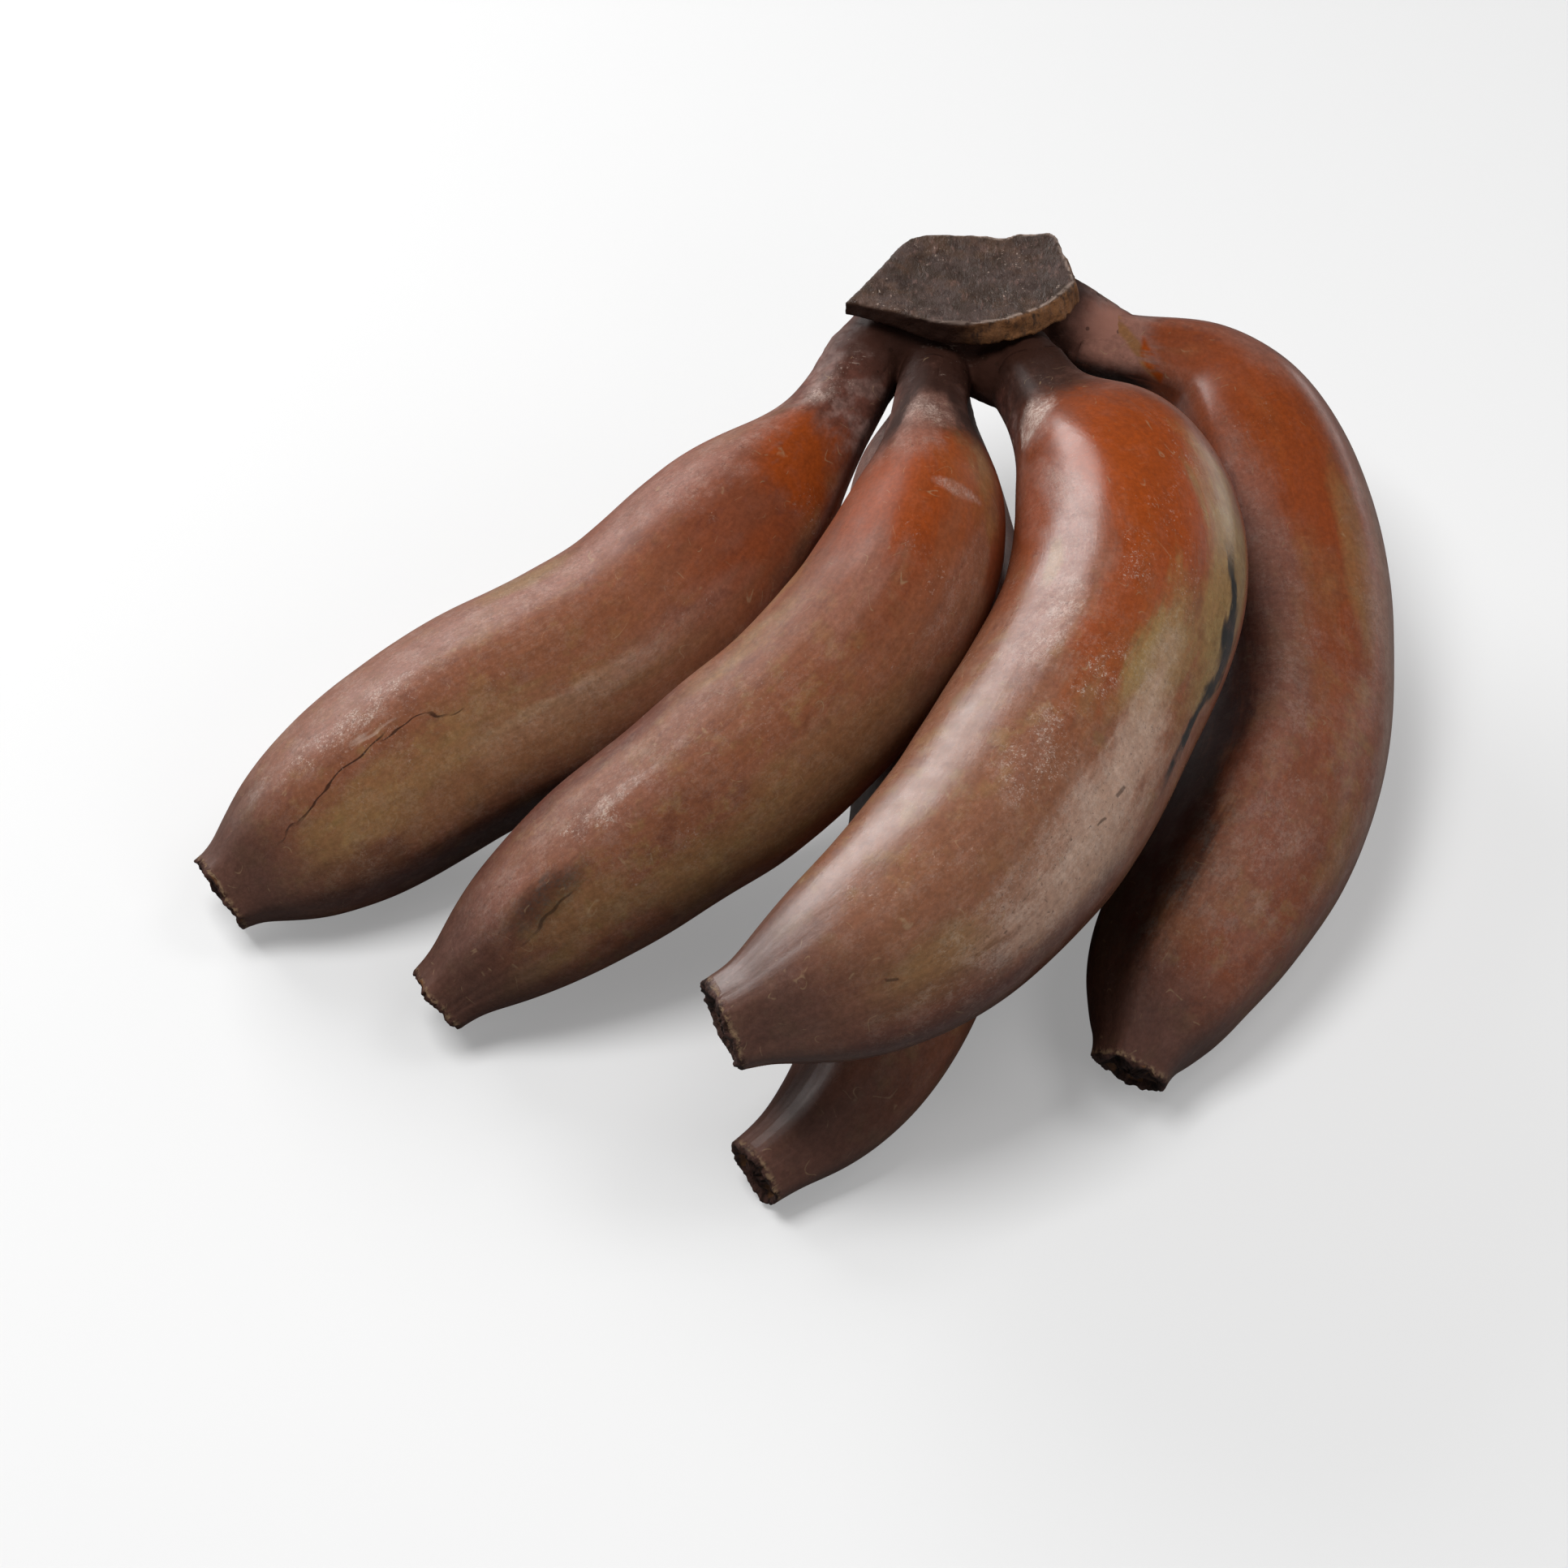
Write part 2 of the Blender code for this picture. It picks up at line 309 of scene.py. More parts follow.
def finger_mesh(name, settings):
    """One finger: a tube moved onto its spine, with ridges, swells, flutes and a hollow blossom end."""
    segments, rings = settings.segments, settings.rings
    girth, neck, tip, knots = FINGERS[name]
    length = spine_length(knots)
    mesh = mesh_from(name, tube_grid(segments, rings))
    unit = read_points(mesh)
    ring = np.rint((unit[:, 2] + 0.5) * rings).astype(int)
    turn = np.arctan2(unit[:, 1], unit[:, 0])

    shares, scales, pushes = finger_stations(rings)
    points = spine_points(knots, shares)
    even = np.linspace(0.0, 1.0, SPINE_SAMPLES)
    along, left, front = (
        np.stack([np.interp(shares, even, column) for column in axis.T], axis=1)
        for axis in spine_frames(spine_points(knots, even))
    )

    # From here on there is one value for each point of the tube.
    share, scale, push = shares[ring], scales[ring], pushes[ring]
    radius = radii_along(girth, neck, tip, shares)[ring]
    grown = np.stack([radius * np.cos(turn), radius * np.sin(turn), share * length + push], axis=1)

    first, strengths = RIDGES[name]
    ridges = ridge_pattern(turn, first, strengths)
    at_neck = 1 - fade(0.10 * neck, 0.34 * neck, share)
    at_tip = fade(1 - 0.22 * tip, 1 - 0.02 * tip, share)
    height = settings.ridge_height * (1 + 0.6 * at_neck + 0.9 * at_tip)
    seed = 7.0 * (1 + list(FINGERS).index(name))
    swell = noise_at(grown, 26.0, 2, seed)
    dents = noise_at(grown * (1, 1, 0.35), 5.0, 2, seed + 3)
    flutes = noise_round(turn, share * 3, 6, 2, seed + 5)
    relief = radius * height * ridges + settings.swell * swell + 0.07 * dents
    relief += flutes * (0.06 * at_neck + 0.12 * at_tip)

    on_end = np.clip((share * length + np.abs(push) - length + LIP) / LIP, 0.0, 1.0)
    on_end[share < 0.5] = 0.0
    ragged = noise_round(turn, scale * 3, 2.2, 3, seed + 9)
    crumbs = noise_round(turn, scale * 9, 9, 3, seed + 13)
    inner = share >= 1.0
    tilt = END_TILTS.get(name, 0.0) * fade(0.96, 1.0, share) * radius * scale * np.cos(turn)
    push = push + tilt + on_end * (0.85 * ragged + 0.16 * crumbs)
    crusted = np.where(inner, 0.14 * crumbs * (scale > 0.1), 0.10 * crumbs * on_end)
    spread = (radius + relief) * scale + crusted

    placed = (
        points[ring]
        + spread[:, None] * (np.cos(turn)[:, None] * front[ring] + np.sin(turn)[:, None] * left[ring])
        + push[:, None] * along[ring]
    )
    placed[:, 2] = np.maximum(placed[:, 2], 0.0)
    write_points(mesh, MM * placed)
    store(mesh, "grown", MM * grown)
    store(mesh, "share", share)
    store(mesh, "ridge", ridges)
    store(mesh, "cork", np.where(inner, 1.0, fade(0.0, 1.0, on_end + 0.35 * crumbs * (on_end > 0))))
    store(mesh, "depth", np.where(inner, np.clip((tilt - push) / HOLLOW_DEPTH, 0, 1), 0.0))
    close_poles(mesh)
    return mesh


def close_poles(mesh):
    """Merges the points that meet at a finger's two ends, and turns its faces outwards."""
    shape = bmesh.new()
    shape.from_mesh(mesh)
    bmesh.ops.remove_doubles(shape, verts=shape.verts, dist=1e-7)
    bmesh.ops.recalc_face_normals(shape, faces=shape.faces)
    shape.to_mesh(mesh)
    shape.free()


def remeshed(name, shape, voxel, smoothing):
    """The closed shells of a bmesh fused into one even skin, and softened."""
    rough = bpy.data.objects.new(name + "_rough", mesh_from(name + "_rough", shape))
    bpy.context.scene.collection.objects.link(rough)
    fuse = rough.modifiers.new("fuse", "REMESH")
    fuse.mode = "VOXEL"
    fuse.voxel_size = MM * voxel
    soften = rough.modifiers.new("soften", "SMOOTH")
    soften.factor = 0.5
    soften.iterations = smoothing
    bpy.context.view_layer.update()
    mesh = bpy.data.meshes.new_from_object(rough.evaluated_get(bpy.context.evaluated_depsgraph_get()))
    bpy.data.objects.remove(rough, do_unlink=True)
    mesh.name = name
    return mesh


def add_ball(shape, centre, radii):
    around = LIMB_SEGMENTS
    made = bmesh.ops.create_uvsphere(shape, u_segments=around, v_segments=around // 2, radius=MM)
    bmesh.ops.scale(shape, vec=radii, verts=made["verts"])
    bmesh.ops.translate(shape, vec=[MM * place for place in centre], verts=made["verts"])


def add_limb(shape, points, radii):
    """A closed round limb through the points, each with its own radius."""
    points, radii = np.array(points, float), np.array(radii, float)
    along, left, front = spine_frames(points)
    limb = tube_grid(LIMB_SEGMENTS, len(points) - 1, cap_ends=True)
    for vert in limb.verts:
        ring = round((vert.co.z + 0.5) * (len(points) - 1))
        offset = radii[ring] * (vert.co.x * front[ring] + vert.co.y * left[ring])
        vert.co = Vector(MM * (points[ring] + offset))
    mesh = mesh_from("limb", limb)
    shape.from_mesh(mesh)
    bpy.data.meshes.remove(mesh)


def crown_base_mesh(voxel, bark_height):
    """The mass under the cut where the necks have grown together, with a sheath round each neck."""
    shape = bmesh.new()
    add_ball(shape, MASS_CENTRE, MASS_RADII)
    for name, (girth, neck, tip, knots) in FINGERS.items():
        shares = np.array(SHEATH_SHARES)
        points = np.concatenate([[HEART], spine_points(knots, shares)])
        radii = radii_along(girth, neck, tip, shares) + SHEATH_SPARE
        add_limb(shape, points, np.concatenate([[HEART_RADIUS], radii]))
    for points, radii in WEBS:
        add_limb(shape, points, radii)
    mesh = remeshed("crown_base", shape, voxel, BASE_SMOOTHING)
    roughen(mesh, ((7.0, 0.3 * bark_height, 1.0), (2.2, 0.14 * bark_height, 5.0)))
    return mesh


def roughen(mesh, layers):
    """Moves the surface in and out by noise: each layer has a lump size, a height and a seed, in mm."""
    points = read_points(mesh) / MM
    lift = sum(height * noise_at(points, size, 3, seed) for size, height, seed in layers)
    write_points(mesh, MM * (points + lift[:, None] * read_normals(mesh)))


def cut_outline():
    """The outline of the cut face, seen from above: straight behind, and a curved front edge."""
    places = np.linspace(0.0, 1.0, len(CUT_FRONT))
    front = smooth_through(places, CUT_FRONT, np.linspace(0.0, 1.0, CUT_FRONT_STEPS))
    return np.concatenate([CUT_BACK, front])


def away_from_outline(points, outline):
    """How far each point lies from the nearest edge of a closed outline, in plan."""
    nearest = np.full(len(points), np.inf)
    for start, end in zip(outline, np.roll(outline, -1, axis=0)):
        edge = end - start
        share = np.clip((points - start) @ edge / (edge @ edge), 0.0, 1.0)
        nearest = np.minimum(nearest, np.linalg.norm(points - start - share[:, None] * edge, axis=1))
    return nearest


def cut_slab_mesh(voxel, thickness, bark_height):
    """The slab that the knife left: flat and a little dished on top, with a ribbed upright rim."""
    outline = cut_outline()
    shape = bmesh.new()
    corners = [shape.verts.new((MM * x, MM * y, MM * CUT_TOP)) for x, y in outline]
    face = bmesh.ops.contextual_create(shape, geom=corners)["faces"]
    made = bmesh.ops.extrude_face_region(shape, geom=face)
    lower = [part for part in made["geom"] if isinstance(part, bmesh.types.BMVert)]
    bmesh.ops.translate(shape, vec=(0.0, 0.0, -MM * thickness), verts=lower)
    bmesh.ops.recalc_face_normals(shape, faces=shape.faces)
    mesh = remeshed("crown_cut", shape, voxel, CUT_SMOOTHING)

    points = read_points(mesh) / MM
    normals = read_normals(mesh)
    on_rim = 1 - fade(0.35, 0.8, np.abs(normals[:, 2]))
    inward = away_from_outline(points[:, :2], outline)
    right = fade(24.0, 44.0, points[:, 0])
    ribs = noise_at(points * (1, 1, 0.12), 1.5, 2, 3.0)
    rim_lift = on_rim * ((0.20 + 0.25 * right) * ribs + 0.45 * noise_at(points, 4.0, 2, 8.0))
    on_top = fade(0.5, 0.9, normals[:, 2])
    middle_height, reach = CUT_DISH
    dish = middle_height * fade(0.0, reach, inward)
    grain = 0.12 * noise_at(points, 1.4, 3, 4.0) + 0.32 * noise_at(points, 6.0, 2, 2.0)
    points[:, 2] += on_top * (dish + grain)
    depth = np.clip((CUT_TOP - points[:, 2]) / thickness, 0, 1)
    points[:, 2] += CUT_THINNING * thickness * depth * (1 - fade(8.0, 30.0, points[:, 0]))
    lean = on_rim * right * depth * RIM_LEAN
    points += bark_height * rim_lift[:, None] * normals + lean[:, None] * normals * (1, 1, 0)
    write_points(mesh, MM * points)
    store(mesh, "rim", on_rim)
    # How near a point of the top is to its edge, which carries a painted highlight.
    store(mesh, "edge", on_top * (1 - fade(0.2, 0.9, inward)))
    return mesh


# ---- Node wiring ----

MIX_FIRST, MIX_SECOND, MIX_RESULT = 6, 7, 2  # where a Mix node has its two colours and the mixed one


class Wiring:
    """Adds nodes to one tree. Each method returns the output it makes, ready to feed the next node."""

    def __init__(self, tree):
        self.tree = tree

    def node(self, kind, inputs, output=0, **settings):
        made = self.tree.nodes.new(kind)
        for name, value in settings.items():
            setattr(made, name, value)
        for socket, value in inputs.items():
            if isinstance(value, bpy.types.NodeSocket):
                self.tree.links.new(value, made.inputs[socket])
            else:
                made.inputs[socket].default_value = value
        return made.outputs[output]

    def stored(self, name, output="Fac"):
        return self.node("ShaderNodeAttribute", {}, output, attribute_name=name)

    def maths(self, operation, *values):
        return self.node("ShaderNodeMath", dict(enumerate(values)), operation=operation)

    def minus(self, value, other):
        return self.maths("SUBTRACT", value, other)

    def larger(self, value, other):
        return self.maths("MAXIMUM", value, other)

    def times(self, *values):
        product = values[0]
        for value in values[1:]:
            product = self.maths("MULTIPLY", product, value)
        return product

    def plus(self, value, other, factor=1.0):
        """The value and so much of the other."""
        return self.maths("MULTIPLY_ADD", other, factor, value)

    def clamped(self, value):
        return self.node("ShaderNodeClamp", {"Value": value})

    def step(self, value, low, high, to_low=0.0, to_high=1.0):
        """A smooth step from to_low, where the value is low, to to_high."""
        places = {"Value": value, 1: low, 2: high, 3: to_low, 4: to_high}
        return self.node("ShaderNodeMapRange", places, interpolation_type="SMOOTHSTEP")

    def vector(self, operation, *values, output=0):
        return self.node("ShaderNodeVectorMath", dict(enumerate(values)), output, operation=operation)

    def distance(self, vector, place):
        """How far the vector is from a place given in millimetres."""
        return self.vector("DISTANCE", vector, [MM * part for part in place], output="Value")

    def blend(self, amount, first, second, mode="MIX"):
        inputs = {0: amount, MIX_FIRST: first, MIX_SECOND: second}
        return self.node("ShaderNodeMix", inputs, MIX_RESULT, data_type="RGBA", blend_type=mode)

    def over(self, colour, tint, *masks):
        """The tint laid over the colour, as thickly as all the masks together let it."""
        return self.blend(self.times(*masks), colour, tint)

    def noise(self, vector, size, detail=2.0, roughness=0.5, distortion=0.0):
        """Noise from 0 to 1 whose lumps are about this many millimetres across."""
        inputs = {"Vector": vector, "Scale": 1.0 / (MM * size), "Detail": detail}
        inputs |= {"Roughness": roughness, "Distortion": distortion}
        return self.node("ShaderNodeTexNoise", inputs, "Fac")

    def spots(self, vector, size, detail, roughness, low, high):
        """The same noise, made into a mask that is 0 from low on and 1 from high on."""
        return self.step(self.noise(vector, size, detail, roughness), low, high)

    def object_place(self):
        return self.node("ShaderNodeTexCoord", {}, "Object")

    def bump(self, height, distance, strength=1.0, normal=None):
        inputs = {"Height": height, "Distance": distance, "Strength": strength}
        if normal is not None:
            inputs["Normal"] = normal
        return self.node("ShaderNodeBump", inputs)

    def effect(self, group, inputs, output=0):
        return self.node("ShaderNodeGroup", inputs, output, node_tree=group)


def opaque(colour):
    return (*colour, 1.0)


def new_effect(name, inputs, outputs):
    """A new shader node group with these sockets, and what is needed to fill it."""
    tree = bpy.data.node_groups.new(name, "ShaderNodeTree")
    for socket_name, kind, default in inputs:
        socket = tree.interface.new_socket(socket_name, in_out="INPUT", socket_type="NodeSocket" + kind)
        socket.default_value = default
    for socket_name, kind in outputs:
        tree.interface.new_socket(socket_name, in_out="OUTPUT", socket_type="NodeSocket" + kind)
    given = tree.nodes.new("NodeGroupInput").outputs
    result = tree.nodes.new("NodeGroupOutput").inputs
    return tree, Wiring(tree), given, result


def filled(tree, result, **values):
    """The group, once each of its output sockets has been given its value."""
    for socket, value in values.items():
        tree.links.new(value, result[socket])
    return tree


def once(build):
    """Builds a node group the first time, and hands back the same one after that."""
    name = build.__name__

    def found():
        return bpy.data.node_groups.get(name) or build(name)
    return found


@once
def fibre_effect(name):
    """Lengthwise fibres and pores of a peel: a fine value from 0 to 1, and a height."""
    tree, w, given, result = new_effect(
        name, [("Grown", "Vector", (0, 0, 0))], [("Streaks", "Float"), ("Height", "Float")]
    )
    drawn = w.vector("MULTIPLY", given["Grown"], (1.0, 1.0, 0.06))
    broad = w.noise(drawn, 1.6, 3.0, 0.6)
    fine = w.noise(drawn, 0.45, 2.0, 0.6)
    pores = w.noise(given["Grown"], 0.55, 2.0, 0.6)
    skin = w.noise(given["Grown"], 2.4, 2.0, 0.5)
    streaks = w.plus(w.times(broad, 0.6), fine, 0.4)
    height = w.plus(w.times(fine, 0.35), pores, 0.35)
    height = w.plus(w.plus(height, broad, 0.5), skin, 0.5)
    return filled(tree, result, Streaks=streaks, Height=height)


@once
def freckle_effect(name):
    """Sparse round specks of many sizes."""
    sockets = [("Grown", "Vector", (0, 0, 0)), ("Spacing", "Float", 400.0), ("Share", "Float", 0.3)]
    tree, w, given, result = new_effect(name, sockets, [("Mask", "Float")])
    cells = w.node("ShaderNodeTexVoronoi", {"Vector": given["Grown"], "Scale": given["Spacing"]}, "Color")
    chance = w.node("ShaderNodeSeparateColor", {"Color": cells}, "Red")
    reach = w.times(w.minus(chance, w.minus(1.0, given["Share"])), 0.9)
    inside = w.minus(w.larger(reach, 0.0), cells.node.outputs["Distance"])
    return filled(tree, result, Mask=w.step(inside, 0.0, 0.06))


@once
def scuff_effect(name):
    """Short pale rub marks, gathered in places."""
    tree, w, given, result = new_effect(name, [("Grown", "Vector", (0, 0, 0))], [("Mask", "Float")])
    where = w.spots(given["Grown"], 13.0, 3.0, 0.6, 0.54, 0.70)
    turned = w.node(
        "ShaderNodeMapping",
        {"Vector": given["Grown"], "Rotation": (0.5, 0.3, 0.9), "Scale": (0.13, 1.0, 1.0)},
    )
    strokes = w.spots(turned, 0.5, 2.0, 0.7, 0.60, 0.70)
    crumbs = w.spots(given["Grown"], 0.9, 3.0, 0.75, 0.60, 0.72)
    return filled(tree, result, Mask=w.times(where, w.larger(w.times(strokes, 0.8), crumbs)))


@once
def neck_effect(name):
    """The waxy grey of the necks, which darkens towards the crown's middle under the slab, partly as painted
    shade, and carries on into its bark; with painted shade under the slab's lip and in the fold under the
    right neck's lobe, and a bloom colour on that lobe that is partly a painted sheen.
    """
    sockets = [("Place", "Vector", (0, 0, 0))]
    sockets += [(tone, "Color", (0, 0, 0, 1)) for tone in ("Dark", "Grey", "Lobe")]
    tree, w, given, result = new_effect(name, sockets, [("Colour", "Color"), ("Grey", "Float")])
    # Darker towards the crown's middle, under the slab: partly the bark's own dark, partly painted shade.
    away = w.distance(given["Place"], CROWN_MIDDLE)
    cloud = w.minus(w.noise(given["Place"], 6.0, 4.0, 0.65), 0.5)
    grey = w.step(w.plus(away, cloud, MM * 26), MM * 19, MM * 34)
    mottle = w.step(w.noise(given["Place"], 2.2, 3.0, 0.7), 0.35, 0.65, 0.55, 1.0)
    height = w.node("ShaderNodeSeparateXYZ", {"Vector": given["Place"]}, "Z")
    right = height.node.outputs["X"]
    grey = w.larger(grey, w.step(right, MM * 17, MM * 8, 0.0, 0.95))
    # Painted shade: the necks go dark just under the slab's lip.
    lip_shade = w.times(w.step(height, MM * 56, MM * 63), w.step(right, MM * 58, MM * 48))
    grey = w.times(grey, mottle, w.minus(1.0, lip_shade))
    near_lobe = w.distance(given["Place"], LOBE_MIDDLE)
    # Partly a painted sheen: the right neck's lobe takes the mauve of its bloom.
    lobe_bloom_and_sheen = w.step(w.plus(near_lobe, cloud, MM * 8), MM * 11, MM * 6)
    colour = w.blend(grey, given["Dark"], given["Grey"])
    colour = w.over(colour, given["Lobe"], lobe_bloom_and_sheen, w.step(height, MM * 48, MM * 51))
    # Painted shade in the fold under the lobe.
    fold_shade = w.times(w.step(near_lobe, MM * 17, MM * 12), w.step(height, MM * 50, MM * 47))
    return filled(tree, result, Colour=w.over(colour, FOLD_COLOUR, fold_shade, 0.8), Grey=grey)


@once
def netting_effect(name):
    """Fine pale netting, as on a peel that has rubbed, and the sparser specks of a deeper scuff."""
    tree, w, given, result = new_effect(
        name, [("Grown", "Vector", (0, 0, 0))], [("Mask", "Float"), ("Specks", "Float")]
    )
    flecks = w.noise(w.vector("MULTIPLY", given["Grown"], (1.0, 1.0, 0.7)), 0.5, 4.0, 0.8, 1.2)
    clusters = w.noise(given["Grown"], 4.0, 3.0, 0.7)
    netted = w.plus(flecks, w.minus(clusters, 0.5), 0.7)
    crumbs = w.noise(given["Grown"], 0.42, 3.0, 0.75, 0.8)
    crumbs = w.plus(crumbs, w.minus(clusters, 0.5), 0.5)
    return filled(tree, result, Mask=w.step(netted, 0.47, 0.62), Specks=w.step(crumbs, 0.58, 0.65))


@once
def scratch_effect(name):
    """Hairline scratches: short pieces of thin wandering lines."""
    tree, w, given, result = new_effect(name, [("Grown", "Vector", (0, 0, 0))], [("Mask", "Float")])
    wander = w.times(w.noise(given["Grown"], 10.0, 1.0, 0.5, 0.8), 6.0)
    away = w.maths("ABSOLUTE", w.minus(w.maths("FRACT", wander), 0.5))
    pieces = w.spots(given["Grown"], 3.2, 2.0, 0.6, 0.56, 0.64)
    return filled(tree, result, Mask=w.times(w.step(away, 0.045, 0.0), pieces))


@once
def patch_effect(name):
    """A ragged patch of a tint laid over a colour, placed on the grown finger."""
    sockets = [
        ("Colour", "Color", (0, 0, 0, 1)), ("Tint", "Color", (0, 0, 0, 1)), ("Strength", "Float", 1.0),
        ("Grown", "Vector", (0, 0, 0)), ("Centre", "Vector", (0, 0, 0)), ("Reach", "Vector", (1, 1, 1)),
        ("Ragged", "Float", 0.5),
    ]
    tree, w, given, result = new_effect(name, sockets, [("Colour", "Color"), ("Mask", "Float")])
    offset = w.vector("DIVIDE", w.vector("SUBTRACT", given["Grown"], given["Centre"]), given["Reach"])
    away = w.vector("LENGTH", offset, output="Value")
    inside = w.step(w.plus(away, w.minus(given["Ragged"], 0.5), 2.4), 1.20, 0.50)
    mask = w.times(inside, given["Strength"])
    return filled(tree, result, Mask=mask, Colour=w.blend(mask, given["Colour"], given["Tint"]))


@once
def wound_effect(name):
    """A thin wandering line along a finger: a crack or a bruised ridge."""
    sockets = [
        ("Grown", "Vector", (0, 0, 0)), ("Share", "Float", 0.0), ("Wander", "Float", 0.5),
        ("From Share", "Float", 0.2), ("To Share", "Float", 0.6), ("From Turn", "Float", 0.0),
        ("To Turn", "Float", 0.0), ("Width", "Float", 0.001),
    ]
    tree, w, given, result = new_effect(name, sockets, [("Mask", "Float")])
    span = w.minus(given["To Share"], given["From Share"])
    along = w.maths("DIVIDE", w.minus(given["Share"], given["From Share"]), span)
    turn = w.plus(given["From Turn"], w.minus(given["To Turn"], given["From Turn"]), along)
    turn = w.plus(turn, w.minus(given["Wander"], 0.5), 0.55)
    x = w.node("ShaderNodeSeparateXYZ", {"Vector": given["Grown"]}, "X")
    y = x.node.outputs["Y"]
    cosine, sine = w.maths("COSINE", turn), w.maths("SINE", turn)
    across = w.minus(w.times(y, cosine), w.times(x, sine))
    facing = w.plus(w.times(x, cosine), y, sine)
    thin = w.maths("DIVIDE", w.maths("ABSOLUTE", across), given["Width"])
    ends = w.times(w.step(along, 0.0, 0.15), w.step(along, 1.0, 0.85))
    line = w.times(w.step(thin, 1.0, 0.35), ends, w.maths("GREATER_THAN", facing, 0.0))
    return filled(tree, result, Mask=line)


# ---- Materials ----

FOLD_COLOUR = (0.006, 0.002, 0.001, 1.0)  # the deep shade where the right neck folds under the crown
